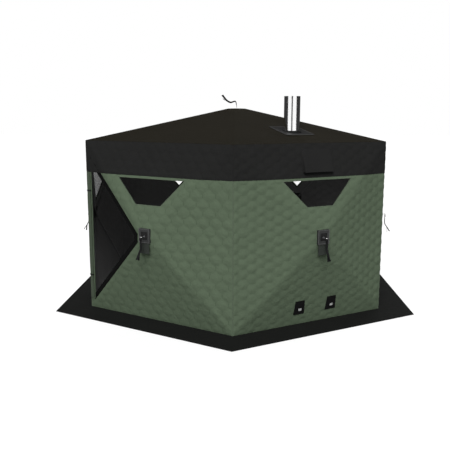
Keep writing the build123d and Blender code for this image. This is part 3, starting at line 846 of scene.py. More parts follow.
def lay(piece, kind, holes=(), low=0.0, high=2.0, loft=LOFT, lift=0.0):
    """Lay a sheet on the wall, with its place in the quilt as UV."""
    points = points_of(piece)
    x, z = points[:, 0].copy(), points[:, 2].copy()
    level = z - HUB_Z
    puff = padding(x, z, kind) if loft else np.zeros_like(x)
    full = np.where(z < HUB_Z, FOOT_FULL, 1.0)
    puff = puff * np.where(np.abs(x) > np.abs(level), SIDE_FULL, full)
    fold = np.abs(np.abs(x) - np.abs(level)) / sqrt(2)
    gaps = [fold, HALF - np.abs(x), z - low, high - z]
    for gap in gaps + [outside(hole, x, z) for hole in holes]:
        puff = puff * ease(gap, FADE)
    points[:, 1] = -tight(x, z) - loft * puff - lift
    put_points(piece, points)
    uv = piece.data.uv_layers.active
    corners = np.empty(len(piece.data.loops), int)
    piece.data.loops.foreach_get("vertex_index", corners)
    place = np.stack(quilt_place(x, z, kind), 1)
    uv.data.foreach_set("uv", place[corners].ravel())


# %% Cut the wall into green skin and black band
BAND_LAP, BAND_LIFT, BAND_LOFT = 0.012, 0.003, 0.8


def keep(piece, height, above):
    """Keep the part of a wall above or below a height."""
    pick_all(piece)
    cut = {"plane_co": (0, 0, height), "plane_no": (0, 0, 1)}
    bpy.ops.mesh.bisect(**cut, clear_inner=above, clear_outer=not above)


green_cut = twin(bare_wall, "green_cut")
keep(green_cut, BAND_Z + BAND_LAP, above=False)
keep(green_cut, SKIRT_TOP, above=True)
front_skin = twin(green_cut, "front_skin")
carve(front_skin, "top", window_outline(pointed=False))
carve(green_cut, "top", window_outline(pointed=True))
door_skin = twin(front_skin, "door_skin")
carve(door_skin, "left", door_outline())
band_cut = twin(bare_wall, "band_cut")
keep(band_cut, BAND_Z, above=True)
object_mode()
print("skins:", [len(p.data.polygons) for p in (green_cut, front_skin, door_skin, band_cut)])

# %% Place the six walls
for name in WALLS:
    front, door = name.startswith("front"), name == "front_left"
    holes = [window_outline(not front)] + [door_outline()] * door
    kind = "wide" if door else "tall"
    source = door_skin if door else front_skin if front else green_cut
    skin = twin(source, f"{name}_skin")
    lay(skin, kind, holes, low=SKIRT_TOP, high=BAND_Z)
    sew(skin, FABRIC, green_quilt[kind], liner_cloth, place=wall_place(name))
    put(skin, "green_quilt", f"wall_{name}", "facet_seams")
    area = SIDE * BAND_Z - sum(area_of(hole) for hole in holes)
    band = twin(band_cut, f"{name}_band")
    lay(band, kind, low=BAND_Z, high=EAVE, loft=LOFT * BAND_LOFT, lift=BAND_LIFT)
    sew(band, FABRIC, black_quilt[kind], liner_cloth, place=wall_place(name))
    put(band, "black_band", f"band_{name}")
discard(bare_wall, green_cut, front_skin, door_skin, band_cut)
print("walls: six skins and six bands")

# %% [markdown]
# ## Edges of the openings
# A window is sewn in under a narrow binding of the same green, and the doorway has a wide
# black flap that holds the zip. Both are strips between two outlines, so they are cut from a
# plainer copy of the wall, laid on it and thickened.

# %% Window bindings
BINDING, BINDING_THICK, LAP = 0.012, 0.003, 0.020
for name in WALLS:
    pointed = not name.startswith("front")
    lap = LAP if pointed else 0
    outer, inner = window_outline(pointed, grow=BINDING), window_outline(pointed, grow=-lap)
    binding = strip_of(f"{name}_binding", "top", outer, inner)
    lay(binding, "tall", loft=0, lift=0.0012)
    sew(binding, BINDING_THICK, green_tape, place=wall_place(name))
    put(binding, "green_quilt")
    length_of(outer)
print("window bindings: 6")

# %% [markdown]
# The zip is a thin round bead, which is a ring drawn out from corner to corner, with a row of
# teeth along each side of the doorway.

# %% Zip flap and its teeth
ZIP_WIDTH, ZIP_OUT = 0.050, 0.003
TOOTH, TOOTH_STEP = (0.008, 0.004, 0.005), 0.010
door_place = wall_place("front_left")
outer, inner = door_outline(-0.004), door_outline(ZIP_WIDTH)
door_border = strip_of("door_border", "left", outer, inner)
lay(door_border, "wide", loft=0, lift=-0.003)
sew(door_border, 0.004, zip_cloth_and_shade, place=door_place)
put(door_border, "zip_fabric", "door_zip")
border_length = (area_of(outer) - area_of(inner)) / ZIP_WIDTH
line = [on_wall(x, z, ZIP_OUT) for x, z in door_outline(0.006)]
turn = (line[1] - line[0]).normalized().to_track_quat("Z", "X").to_euler()
ring = {"vertices": 8, "radius": 0.0035, "fill_type": "NGON"}
zip_coil = add("circle", "zip_coil", location=line[0], rotation=turn, **ring)
pick_all(zip_coil)
for first, second in zip(line, line[1:]):
    extrude("region", *(second - first))
pick_all(zip_coil)
bpy.ops.mesh.normals_make_consistent(inside=False)
smooth(zip_coil, 50)
teeth = []
for first, second in zip(line, line[1:]):
    run = second - first
    turn = run.to_track_quat("Y", "Z").to_euler()
    tooth = add("cube", "teeth", scale=TOOTH, location=first, rotation=turn)
    pick_all(tooth)
    bpy.ops.mesh.bevel(offset=0.0012, segments=1)
    row = {"use_relative_offset": False, "use_constant_offset": True}
    row["constant_offset_displace"] = run.normalized() * TOOTH_STEP
    teeth.append(use(tooth, "ARRAY", count=int(run.length / TOOTH_STEP), **row))
paint(joined(zip_coil, *teeth), zip_cloth_and_shade)
zip_coil.data.transform(door_place)
put(zip_coil, "zip_fabric")
print("zip:", len(zip_coil.data.polygons), "faces")


# %% [markdown]
# ## The rolled door
# The door is unzipped, rolled up and tied beside its doorway. It is one sheet that winds
# round itself three and a half times, pressed flat, so its section is a flat spiral. The
# spiral is drawn out upwards, pinched by its two ties and a little wavy, and thickened.

# %% Roll and ties
ROLL_WIDTH, ROLL_THICK, ROLL_STEPS = 0.054, 0.016, 46
ROLL_FOOT, ROLL_TOP = [corner.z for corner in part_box("door_roll")]
ROLL_X, ROLL_TRIM, ROLL_WAVE = DOOR_EDGE - 0.006 - ROLL_WIDTH / 2, 0.004, 0.0010
TURNS, AROUND, LAYER, SLACK = 3.5, 28, 0.0016, 1.12
TIE_LEVELS, TIE_TALL, TIE_THICK = (0.358, 1.242), 0.012, 0.0016
PINCH, PINCH_TALL = 0.10, 0.05
middle = on_wall(ROLL_X, HUB_Z, (ROLL_THICK / 2 + 0.0008) / cos(LEAN))
roll_frame = Matrix.Translation(middle) @ Matrix.Rotation(-LEAN, 4, "Z")


def flat_loop(turn, inside):
    """Point of a flattened ring, at this part of a turn and this far inside the roll."""
    wide, thick = ROLL_WIDTH / 2 - inside, ROLL_THICK / 2 - inside
    c, s = cos(2 * pi * turn), sin(2 * pi * turn)
    return abs(c) ** 0.6 * wide * (1 if c > 0 else -1), abs(s) ** 0.8 * thick * (1 if s > 0 else -1)


spiral = [
    flat_loop(i / AROUND, LAYER / 2 + i / AROUND * LAYER * SLACK)
    for i in range(int(TURNS * AROUND))
]
last = len(spiral) - 1
roll = add("grid", "rolled_door", x_subdivisions=last, y_subdivisions=ROLL_STEPS)
points = points_of(roll)
for index, (across, up, _) in enumerate(points):
    column = round((across + 0.5) * last)
    x, y = spiral[column]
    z = ROLL_FOOT + ROLL_TRIM + (ROLL_TOP - ROLL_FOOT - 2 * ROLL_TRIM) * (up + 0.5) - HUB_Z
    near_ties = sum(np.exp(-(((z + HUB_Z - level) / PINCH_TALL) ** 2)) for level in TIE_LEVELS)
    pinch = 1 - PINCH * near_ties
    wave = ROLL_WAVE * sin(9 * z + 0.1 * column) * abs(cos(2 * pi * column / AROUND))
    points[index] = (x * pinch, y * pinch + wave, z)
put_points(roll, points)
sew(roll, LAYER * 0.8, shaded_roll_cloth, liner_cloth, angle=60, offset=0, place=door_place @ roll_frame)
put(roll, "green_quilt", "door_roll")
for index, level in enumerate(TIE_LEVELS):
    tie = tube(f"tie_{index}", 40, 1, TIE_TALL, **OPEN)
    points = points_of(tie)
    for row, (x, y, z) in enumerate(points):
        points[row] = (*flat_loop(atan2(y, x) / (2 * pi), -0.0012), z + level - HUB_Z)
    put_points(tie, points)
    sew(tie, TIE_THICK, webbing, angle=60, offset=1, place=door_place @ roll_frame)
    put(tie, "webbing", "door_ties")

# %% [markdown]
# ## Roof, cap and skirt
# The roof is one sheet over six rods. A filled circle with six corners is a hexagon already
# cut into six triangles, so its middle point only has to be raised. Its edge is folded down
# over the band as a hem. The skirt is a hexagon too, with the inner part deleted.

# %% Roof
CAP_RADIUS, ROOF_SAG, ROOF_OUT, ROOF_HEM = 0.095, 0.010, 0.003, 0.013
FLAT_ROUND, SNAP, WAVE, CAP_SINK = 0.35, 0.015, 0.0012, 0.0035
flue_low, flue_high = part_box("flue_pipe")
FLUE = ((flue_low.x + flue_high.x) / 2, (flue_low.y + flue_high.y) / 2)
FLUE_RADIUS = (flue_high.x - flue_low.x) / 2
SLEEVE_RADIUS = FLUE_RADIUS + 0.008
ROOF_RIM, ROOF_TIP = EAVE + 0.0015, APEX - 0.0005
PEAK = ROOF_RIM + (ROOF_TIP - ROOF_RIM) * SIDE / (SIDE - CAP_RADIUS)


def hexagon(name, radius, z, fill="NGON"):
    """A flat hexagon at this height."""
    return add("circle", name, vertices=6, radius=radius, fill_type=fill, location=(0, 0, z))


def around(points):
    """Each point's distance from the hut's middle and its angle from the nearest corner."""
    turn = np.arctan2(points[:, 0], points[:, 1])
    angle = np.abs((turn + pi / 6) % (pi / 3) - pi / 6)
    return np.hypot(points[:, 0], points[:, 1]), angle


def from_flue(place):
    """Level distance of a point from the flue's line."""
    return (place.xy - Vector(FLUE)).length


roof = hexagon("roof_sheet", SIDE + ROOF_OUT, ROOF_RIM, "TRIFAN")
pick(roof, "verts", lambda v: v.co.xy.length < 0.001)
bpy.ops.transform.translate(value=(0, 0, PEAK - ROOF_RIM))
divide(roof, 63)
points = points_of(roof)
away = points[:, :2] - FLUE
span = np.hypot(away[:, 0], away[:, 1])
near = np.abs(span - SLEEVE_RADIUS) < SNAP
points[near, :2] = np.array(FLUE) + away[near] * (SLEEVE_RADIUS / span[near])[:, None]
reach, angle = around(points)
out_from = reach * np.cos(pi / 6 - angle) / APOTHEM
hip = reach * np.sin(angle)
flat = np.clip(1 - span / FLAT_ROUND, 0, 1)
sag = ROOF_SAG * 4 * np.clip(out_from * (1 - out_from), 0, 1)
sag = sag * ease(hip, 0.35) * (1 - ease(flat, 0.6))
wave = WAVE * np.sin(5 * points[:, 0] + 2) * np.sin(6 * points[:, 1])
wave = wave * ease(hip, 0.2) * (1 - ease(flat, 0.4)) * (1 - out_from)
slope = (PEAK - ROOF_RIM) * (1 - out_from / (1 + ROOF_OUT / SIDE))
under_cap = APEX - CAP_SINK + np.maximum(0, reach - CAP_RADIUS) * 9
points[:, 2] = np.minimum(ROOF_RIM + slope - sag + wave, under_cap)
put_points(roof, points)
remove(roof, lambda f: from_flue(f.calc_center_median()) < SLEEVE_RADIUS - 0.001)
pick(roof, "edges", lambda e: e.is_boundary and from_flue(e.verts[0].co) > 0.2)
extrude("edges", 0, 0, -ROOF_HEM)
sew(roof, 0.006, roof_cloth, liner_cloth, angle=40)
put(roof, "roof_fabric", *[f"roof_{name}" for name in WALLS], "roof_seams")
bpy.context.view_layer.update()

# %% Cap
cap = hexagon("cap", CAP_RADIUS, APEX - 0.004)
pick_all(cap)
inset(0.010)
inset(0.002, 0, 0, -0.0012)
inset(0.002, 0, 0, 0.0030)
bpy.ops.mesh.poke()
use(cap, "SUBSURF", subdivision_type="SIMPLE", levels=3, render_levels=3)
sew(cap, 0.003, roof_cloth, angle=35)
put(cap, "roof_fabric", "roof_cap")
print("cap top", round(max(v.co.z for v in cap.data.vertices), 4), "of", round(APEX, 4))

# %% Skirt
SKIRT_HEM, HEM_STEP, SKIRT_LAP = 0.030, 0.002, 0.010
SKIRT_WIDE = (SKIRT_RADIUS - SIDE) * cos(pi / 6)
skirt = hexagon("skirt", SKIRT_RADIUS, 0.0035)
pick_all(skirt)
for width in (SKIRT_HEM, HEM_STEP, SKIRT_WIDE - SKIRT_HEM - HEM_STEP + SKIRT_LAP):
    inset(width)
bpy.ops.mesh.delete(type="FACE")
divide(skirt, 5, 3)
points = points_of(skirt)
reach, angle = around(points)
from_edge = SKIRT_RADIUS * cos(pi / 6) - reach * np.cos(pi / 6 - angle)
ripple = 0.5 + 0.5 * np.sin(points[:, 0] * 7.3 + 1) * np.sin(points[:, 1] * 6.1 + 2)
ripple = 0.0035 * ripple * ease(from_edge, 0.05) * ease(0.32 - from_edge, 0.10)
points[:, 2] += ripple - 0.0012 * (from_edge > SKIRT_HEM + 0.001)
put_points(skirt, points)
sew(skirt, 0.002, skirt_cloth, angle=30)
put(skirt, "skirt_fabric", "ground_skirt")
print("skirt lowest", round(min(v.co.z for v in skirt.data.vertices), 4))


# %% [markdown]
# ## Corner bindings
# Each corner of the hut is bound with a folded tape, green beside the green walls and black
# beside the band. It is a strip whose middle is moved out and rounded.

# %% Corner tapes
TAPE_HALF, TAPE_THICK, TAPE_ROUND = 0.013, 0.0018, 0.002


def corner_tape(name, low, high, material, proud):
    """A tape folded round the corner, from one height to another."""
    piece = add("plane", name, location=(0, 0, (low + high) / 2), rotation=(0, radians(90), 0))
    pick_all(piece)
    bpy.ops.transform.resize(value=(1, 2 * TAPE_HALF, high - low))
    divide(piece, 7)
    points = points_of(piece)
    across = np.sqrt(points[:, 1] ** 2 + TAPE_ROUND**2) - TAPE_ROUND
    points[:, 0] = proud - across * tan(pi / 6)
    points[:, 2] = low + (high - low) * (points[:, 2] - points[:, 2].min()) / np.ptp(points[:, 2])
    put_points(piece, points)
    return sew(piece, TAPE_THICK, material, angle=40)


green_corner = corner_tape("green_corner", 0.004, BAND_Z + 0.004, green_tape, 0.0015)
black_corner = corner_tape("black_corner", BAND_Z, EAVE - 0.010, hood_cloth, 0.0045)
for name in WALLS:
    for kind, source in (("green", green_corner), ("black", black_corner)):
        tape = twin(source, f"{name}_{kind}_tape", corner_place(name))
        put(tape, "green_quilt" if kind == "green" else "black_band", "corner_seams")
        levels = points_of(tape)[:, 2]
        length = float(levels.max() - levels.min())
discard(green_corner, black_corner, plain_wall)
print("corner tapes: 12")


# %% [markdown]
# ## Fittings on a wall hub
# Over each hub is a moulded plate with a raised rim, and in the middle a square pocket with
# a bolt. Pulling the strap on the bolt's head pops the wall out. One set is modelled at the
# front wall, in the wall's own frame, and each wall gets a copy. The plate is a cube whose
# front face is inset and pushed in twice.

# %% Plate with its rim and pocket
PLATE_WIDE, PLATE_TALL, PLATE_DEEP, PLATE_ROUND = 0.130, 0.138, 0.030, 0.007
PLATE_RIM, FIELD_DEEP, POCKET, POCKET_DEEP = 0.009, 0.003, 0.074, 0.008
PLATE_Z = HUB_Z + 0.006
FRONT_Y = -POP - PLATE_STAND
SEAT_Y = FRONT_Y + POCKET_DEEP


def front_face(face):
    """Whether a face looks straight out of the wall."""
    return face.normal.y < -0.9


def run_of(edge):
    """The vector along an edge."""
    return edge.verts[1].co - edge.verts[0].co


size, middle = (PLATE_WIDE, PLATE_DEEP, PLATE_TALL), (0, FRONT_Y + PLATE_DEEP / 2, PLATE_Z)
plate = add("cube", "plate", scale=size, location=middle)
pick(plate, "faces", front_face)
inset(PLATE_RIM)
extrude("region", 0, FIELD_DEEP, 0)
margin = PLATE_WIDE - 2 * PLATE_RIM - POCKET
inset(margin / 2)
square = (1, 1, POCKET / (PLATE_TALL - 2 * PLATE_RIM - margin))
bpy.ops.transform.resize(value=square, center_override=(0, FRONT_Y, PLATE_Z))
extrude("region", 0, POCKET_DEEP - FIELD_DEEP, 0)
pick(plate, "edges", lambda e: abs(run_of(e).y) > 0.02)
bpy.ops.mesh.bevel(offset=PLATE_ROUND, segments=4)
smooth(bevel(plate, 0.0014, 3), 30)
paint(plate, rim_grey, plate_grey, pocket_black)
for face in plate.data.polygons:
    x, y, z = face.center
    pocket = max(abs(x), abs(z - PLATE_Z)) < POCKET / 2 + 0.001
    flank = max(abs(x), abs(z - PLATE_Z) - 0.004) > PLATE_WIDE / 2 - 0.0005
    if flank or y > FRONT_Y + FIELD_DEEP - 0.0006:
        face.material_index = 2 if pocket and y > FRONT_Y + FIELD_DEEP + 0.001 else 1
print("plate:", len(plate.data.polygons), "faces")

# %% Pull bolt: washer, nut, shank and flattened head, by distance from the seat
HEAD_FAR, NUT_FAR = 0.056, 0.010
DISCS = {
    "bolt": (0.0090, 0, 0.002, 32, 0.0006),
    "nut": (0.0072, 0.002, NUT_FAR, 6, 0.0010),
    "shank": (0.0035, NUT_FAR, HEAD_FAR - 0.004, 16, 0.0002),
    "head": (0.0088, HEAD_FAR - 0.005, HEAD_FAR, 32, 0.0020),
}
parts = []
for name, (radius, low, high, sides, edge) in DISCS.items():
    middle = (0, SEAT_Y - (low + high) / 2, HUB_Z)
    disc = tube(name, sides, radius, high - low, middle, rotation=UPRIGHT)
    parts.append(bevel(disc, edge, 3, angle=50))
pick_all(parts[3])
bpy.ops.transform.resize(value=(1.25, 1, 0.75), center_override=(0, SEAT_Y, HUB_Z))
bolt = smooth(joined(*parts), 35)
paint(bolt, bright_steel, alloy)
for face in bolt.data.polygons:
    face.material_index = int(face.center.y > SEAT_Y - NUT_FAR - 0.002)
print("bolt:", len(bolt.data.polygons), "faces")


# %% Flap that hangs under the plate
FLAP_HALF, FLAP_THICK = 0.056, 0.0024
FLAP_TOP, FLAP_FOOT = PLATE_Z - PLATE_TALL / 2 + 0.004, HUB_Z - 0.166
FLAP_TALL = FLAP_TOP - FLAP_FOOT


def hemmed(name, middle, wide, tall, narrow, hem, press, cuts):
    """An upright panel, narrower at its head, with its middle pressed in inside a hem."""
    piece = add("plane", name, location=middle, rotation=UPRIGHT)
    pick_all(piece)
    bpy.ops.transform.resize(value=(wide, 1, tall))
    pick(piece, "verts", lambda v: v.co.z > middle[2])
    bpy.ops.transform.resize(value=(narrow, 1, 1))
    pick_all(piece)
    inset(hem)
    inset(0.0015, 0, press, 0)
    divide(piece, cuts)
    return piece


middle = (0, -POP - 0.004, (FLAP_TOP + FLAP_FOOT) / 2)
flap = hemmed("flap", middle, 2 * FLAP_HALF, FLAP_TALL, 1, 0.009, 0.0012, 9)
points = points_of(flap)
down = (FLAP_TOP - points[:, 2]) / FLAP_TALL
points[:, 1] += 0.0012 * np.sin(pi * points[:, 0] / FLAP_HALF) * down - 0.0010 * np.sin(2.5 * down)
put_points(flap, points)
sew(flap, FLAP_THICK, flap_cloth, angle=30)
print("flap:", len(flap.data.polygons), "faces")

# %% [markdown]
# A strap is a ribbon of webbing along a smooth line. The line runs through a few points, and
# each row of a grid is laid across it. The pull strap is two layers, sewn together at the top
# under a keeper, which part lower down and end in two loose tails.

# %% Ribbons of webbing
STRAP_WIDE, TAIL_WIDE, ROOF_TAIL_WIDE, STRAP_THICK = 0.024, 0.021, 0.016, 0.0014


def smooth_line(points, steps=9):
    """Points of a smooth curve through all of these."""
    ends = [points[0] * 2 - points[1]] + points + [points[-1] * 2 - points[-2]]
    found = []
    for a, b, c, d in zip(ends, ends[1:], ends[2:], ends[3:]):
        for t in [step / steps for step in range(steps)]:
            bend = (a * 2 - b * 5 + c * 4 - d) * t * t + (b * 3 - a - c * 3 + d) * t**3
            found.append((b * 2 + (c - a) * t + bend) / 2)
    return found + [points[-1]]


def ribbon(name, start_at, points, twist, width):
    """Webbing along a line, turned from one angle to another, in degrees; and its length."""
    line = smooth_line([Vector((0, start_at[0] + y, start_at[1] + z)) for y, z in points])
    last = len(line) - 1
    piece = add("grid", name, x_subdivisions=4, y_subdivisions=last)
    values = points_of(piece)
    for index, (x, y, _) in enumerate(values):
        row = round((y + 0.5) * last)
        run = (line[min(row + 1, last)] - line[max(row - 1, 0)]).normalized()
        turn = radians(twist[0] + (twist[1] - twist[0]) * row / last)
        side = Matrix.Rotation(turn, 3, run) @ Vector((1, 0, 0))
        side = (side - run * side.dot(run)).normalized()
        slant = 0.25 * (x + 0.5) * width * max(0, row / last - 0.9) / 0.1
        values[index] = line[row] + side * x * width - run * slant
    put_points(piece, values)
    sew(piece, STRAP_THICK, webbing, angle=40, offset=0)
    return piece, sum((b - a).length for a, b in zip(line, line[1:]))


HOLD = (SEAT_Y - HEAD_FAR - 0.0010, HUB_Z)
HANG = [(0, -0.001), (0.0004, -0.030), (0.0006, -0.072), (-0.0025, -0.112)]
FRONT_TAIL = [(-0.0240, -0.156), (-0.0320, -0.218)]
BACK = [(0.0016, -0.001), (0.0020, -0.030), (0.0022, -0.072), (-0.0009, -0.113)]
BACK_TAIL = [(-0.0260, -0.152), (-0.0620, -0.206)]
strap, strap_length = ribbon("strap", HOLD, HANG + FRONT_TAIL, (0, 18), STRAP_WIDE)
tail, tail_length = ribbon("tail", HOLD, BACK + BACK_TAIL, (0, -24), TAIL_WIDE)
middle = (0, HOLD[0] + 0.0010, HUB_Z - 0.022)
keeper = bevel(add("cube", "keeper", scale=(0.029, 0.0075, 0.016), location=middle), 0.0024, 3)
paint(keeper, webbing)
print(f"straps {strap_length:.3f} and {tail_length:.3f} m long")

# %% A set of fittings on each wall
for name in WALLS:
    place = wall_place(name)
    put(twin(plate, f"{name}_plate", place), "plate_plastic", "hub_plates")
    put(twin(bolt, f"{name}_bolt", place), "bright_steel", "hub_bolts")
    hung = put(twin(flap, f"{name}_flap", place), "flap_fabric", "hub_flaps")
    put(twin(keeper, f"{name}_keeper", place), "webbing")
    for source, long, wide in (strap, strap_length, STRAP_WIDE), (tail, tail_length, TAIL_WIDE):
        hung = put(twin(source, f"{name}_{source.name}", place), "webbing", "pull_straps")
discard(plate, bolt, flap, keeper, strap, tail)
print("fittings on six walls")

# %% [markdown]
# The roof's strap stands up from the cap, folds over and ends in two loose tails. Its line is
# drawn in the same plane as the wall straps and then turned to the hut's left.

# %% Strap on the roof
RISE = [(0, 0), (0, 0.020), (-0.004, 0.048), (-0.012, 0.074)]
FALL = [(-0.030, 0.077), (-0.071, 0.066), (-0.118, 0.092), (-0.166, 0.150)]
ROOF_TAIL = [(-0.062, 0.068), (-0.090, 0.080), (-0.120, 0.090), (-0.142, 0.094), (-0.160, 0.110)]
ROOF_STRAPS = {
    "roof_pull": (RISE + FALL, (0, 60), STRAP_WIDE, "cap"),
    "roof_tail": (ROOF_TAIL, (20, 12), ROOF_TAIL_WIDE, "roof_pull"),
}
for name, (points, twist, wide, below) in ROOF_STRAPS.items():
    piece, length = ribbon(name, (0, ROOF_TIP), points, twist, wide)
    piece.data.transform(Matrix.Rotation(radians(-90), 4, "Z"))
    put(piece, "webbing", "roof_strap")
print("roof straps: 2")

# %% [markdown]
# ## Port flaps
# Two small flaps lie low on the front right wall, where such a hut has its ports for a cable
# or a hose. Each is a plane made narrower at its head, with a hem pressed in, laid on the
# lower facet, and it has a plain pale tab to pull.

# %% Port flaps with their tabs
PORT_LOW, PORT_HIGH, PORT_FOOT, PORT_HEAD = 0.110, 0.248, 0.062, 0.053
PORT_TALL = PORT_HIGH - PORT_LOW
TAB, TAB_Z, TAB_OUT = (0.034, 0.024, 0.0022), 0.158, 0.0052
front_right = wall_place("front_right")
for index, x in enumerate((-0.163, 0.213)):
    middle, narrow = (x, 0, (PORT_LOW + PORT_HIGH) / 2), PORT_HEAD / PORT_FOOT
    port = hemmed(f"port_{index}", middle, 2 * PORT_FOOT, PORT_TALL, narrow, 0.008, 0.0010, 7)
    points = points_of(port)
    swell = 0.0012 * np.sin(pi * np.clip((points[:, 2] - PORT_LOW) / PORT_TALL, 0, 1))
    points[:, 1] -= tight(points[:, 0], points[:, 2]) + LOFT + 0.0018 + swell
    put_points(port, points)
    sew(port, FLAP_THICK, port_cloth, angle=30, place=front_right)
    put(port, "port_fabric", "port_flaps")
    at = on_wall(x, TAB_Z, LOFT + TAB_OUT) + Vector((0.006, 0, 0))
    lean = (radians(90) + LEAN, 0, 0)
    tab = add("cube", f"tab_{index}", scale=TAB, location=at, rotation=lean)
    pick(tab, "faces", front_face)
    inset(0.003)
    inset(0.001, 0, 0.0006, 0)
    paint(bevel(tab, 0.0008, 2, angle=50), pale_tab)
    tab.data.transform(front_right)
    put(tab, "webbing")
print("port flaps: 2, with tabs")

# %% [markdown]
# ## Vent hood
# The hood is a stiffened sheet on the band. Its head and both cheeks are sewn down, and its
# foot stands off, so that air goes in underneath. It is a grid laid on the wall, whose points
# move out more and more towards the foot, except at the two sides.

# %% Vent hood
HOOD_LOW, HOOD_TOP = [corner.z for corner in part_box("vent_hood")]
HOOD_HALF, HOOD_OUT, HOOD_SEWN = 0.170, 0.044, 0.0045
hood = add("grid", "hood", x_subdivisions=28, y_subdivisions=14)
points = points_of(hood)
for index, (x, y, _) in enumerate(points):
    across = (1 if x > 0 else -1) * HOOD_HALF * (1 - (1 - min(1, abs(x) * 2)) ** 1.9)
    down = 0.5 - y
    cheek = float(ease(HOOD_HALF - abs(across), 0.010))
    stand_off = ((HOOD_OUT - 0.004) * down + 0.003 * sin(pi * down)) * cheek
    z = HOOD_TOP - (HOOD_TOP - HOOD_LOW) * down
    points[index] = on_wall(across, z, stand_off + HOOD_SEWN)
put_points(hood, points)
foot = HOOD_LOW + 0.001
pick(hood, "edges", lambda e: e.is_boundary and max(v.co.z for v in e.verts) < foot)
extrude("edges", 0, 0.006, 0.002)
pick_all(hood)
bpy.ops.mesh.normals_make_consistent(inside=False)
sew(hood, 0.003, hood_cloth, liner_cloth, angle=45, place=front_right)
put(hood, "black_band", "vent_hood")
print("hood:", len(hood.data.polygons), "faces")

# %% [markdown]
# ## Flue
# The stove pipe comes up through a square plate on the roof, and a low rubber boot seals it.
# The pipe is thin sheet with a rolled bead at its top and a lapped seam up its back.

# %% Flue plate
JACK, JACK_RIM, JACK_THICK, JACK_ROUND = 0.332, 0.018, 0.006, 0.006
flue_x, flue_y, _ = front_right.inverted() @ Vector((*FLUE, 0))
roof_height = ROOF_RIM + (PEAK - ROOF_RIM) * flue_y / APOTHEM
on_roof = Matrix.Translation((flue_x, flue_y, roof_height + 0.0005))
on_roof = on_roof @ Matrix.Rotation(atan2(PEAK - ROOF_RIM, APOTHEM), 4, "X")


def is_corner(edge):
    """Whether this is one of the plate's four upright corner edges."""
    return edge.is_manifold and edge.calc_face_angle() > 1 and abs(run_of(edge).z) > 0.004


jack = add("cube", "jack", scale=(JACK, JACK, JACK_THICK), location=(0, 0, JACK_THICK / 2))
pick(jack, "faces", lambda f: f.normal.z > 0.9)
inset(JACK_RIM)
inset(0.002, 0, 0, -0.003)
pick(jack, "edges", is_corner)
bpy.ops.mesh.bevel(offset=JACK_ROUND, segments=4)
punch = tube("punch", 64, SLEEVE_RADIUS, 0.1)
smooth(bevel(subtract(jack, punch), 0.0008, 2, angle=40), 30)
paint(jack, heat_rim, heat_plate)
for face in jack.data.polygons:
    x, y, z = face.center
    face.material_index = int(max(abs(x), abs(y)) < JACK / 2 - JACK_RIM + 0.0005)
jack.data.transform(front_right @ on_roof)
put(jack, "flue_plate", "flue_plate")
print("flue plate", len(jack.data.polygons), "faces")

# %% Boot round the pipe, and its sleeve through the roof
BOOT_WIDE, BOOT_HIGH = 0.018, 0.006
SLEEVE_WIDE, SLEEVE_TALL, SLEEVE_DROP = 0.0065, 0.026, 0.008
boot = tube("boot", 72, FLUE_RADIUS + BOOT_WIDE, BOOT_HIGH, (0, 0, 0.003 + BOOT_HIGH / 2))
pick(boot, "faces", lambda f: f.normal.z > 0.9)
inset(0.010, 0, 0, 0.002)
inset(0.006, 0, 0, 0.001)
object_mode()
boot.data.transform(on_roof)
bore = tube("bore", 96, FLUE_RADIUS, 1, (flue_x, flue_y, roof_height))
middle = (flue_x, flue_y, roof_height - SLEEVE_DROP)
sleeve = tube("sleeve", 96, FLUE_RADIUS + SLEEVE_WIDE, SLEEVE_TALL, middle)
smooth(joined(subtract(boot, bore), subtract(sleeve, bore)), 40)
discard(punch, bore)
paint(boot, boot_rubber)
boot.data.transform(front_right)
put(boot, "collar_rubber", "flue_collar")
print("boot", len(boot.data.polygons), "faces")

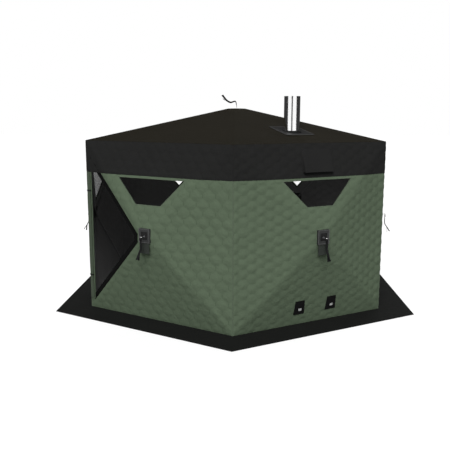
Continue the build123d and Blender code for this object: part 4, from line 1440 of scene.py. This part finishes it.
# %% Pipe with a rolled bead and a seam
SHEET, SEAM, SEAM_TURN = 0.0015, (0.0014, 0.012), radians(100)
PIPE_TOP, PIPE_LONG = flue_high.z, flue_high.z - flue_low.z
PIPE_MIDDLE = (flue_high.z + flue_low.z) / 2
pipe = tube("pipe", 120, FLUE_RADIUS - 0.0003, PIPE_LONG, (*FLUE, PIPE_MIDDLE), **OPEN)
pick(pipe, "edges", lambda e: min(v.co.z for v in e.verts) > PIPE_TOP - 0.001)
for turn_in, drop in (0.0012, 0), (0.0026, 0.0016), (0.0030, 0.0016), (0.0022, 0.0016):
    scale = (FLUE_RADIUS - turn_in) / FLUE_RADIUS
    extrude("edges", 0, 0, 0)
    bpy.ops.transform.resize(value=(scale, scale, 1), center_override=(*FLUE, PIPE_TOP))
    bpy.ops.transform.translate(value=(0, 0, -drop))
use(pipe, "SOLIDIFY", thickness=SHEET, offset=-1)
reach = FLUE_RADIUS - 0.0002
at = (FLUE[0] + reach * cos(SEAM_TURN), FLUE[1] + reach * sin(SEAM_TURN), PIPE_MIDDLE)
size = (*SEAM, PIPE_LONG - 0.012)
seam = add("cube", "seam", scale=size, location=at, rotation=(0, 0, SEAM_TURN))
smooth(joined(pipe, bevel(seam, 0.0005, 2)), 40)
paint(pipe, stainless)
put(pipe, "stainless", "flue_pipe")
print("pipe", len(pipe.data.polygons), "faces")

# %% [markdown]
# ## Corner pockets
# The rods end in cups of webbing sewn into the corners, at the ground and at the eave. A cup
# is a short square tube that bulges a little.

# %% Corner pockets
CUP_RADIUS, CUP_TALL, CUP_X, CUP_FOOT, CUP_BULGE = 0.030, 0.072, -0.040, 0.007, 0.10
pocket_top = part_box("corner_pockets")[1].z
cup = tube("cup", 4, CUP_RADIUS, CUP_TALL, (CUP_X, 0, CUP_FOOT + CUP_TALL / 2), **OPEN)
divide(cup, 6)
points = points_of(cup)
bulge = 1 + CUP_BULGE * np.sin(pi * (points[:, 2] - CUP_FOOT) / CUP_TALL)
points[:, 0] = CUP_X + (points[:, 0] - CUP_X) * bulge
points[:, 1] *= bulge
put_points(cup, points)
sew(cup, 0.0025, webbing, offset=0)
for name in WALLS:
    for level, base in (("low", 0.0), ("high", pocket_top - 0.080)):
        place = corner_place(name) @ Matrix.Translation((0, 0, base))
        pocket = put(twin(cup, f"{name}_{level}_pocket", place), "webbing", "corner_pockets")
discard(cup)
print("corner pockets: 12")

# %% CAD pieces that stay, with better finishes
KEPT = {
    "wall_poles": rod_glass, "roof_poles": rod_glass,
    "wall_hubs": nylon, "roof_hub": nylon,
    "hub_pins": pin_steel, "pole_tips": pin_steel,
    "window_panes": vinyl,
}
for name, material in KEPT.items():
    paint(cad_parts[name], material)
print("kept:", len(KEPT), "nodes")
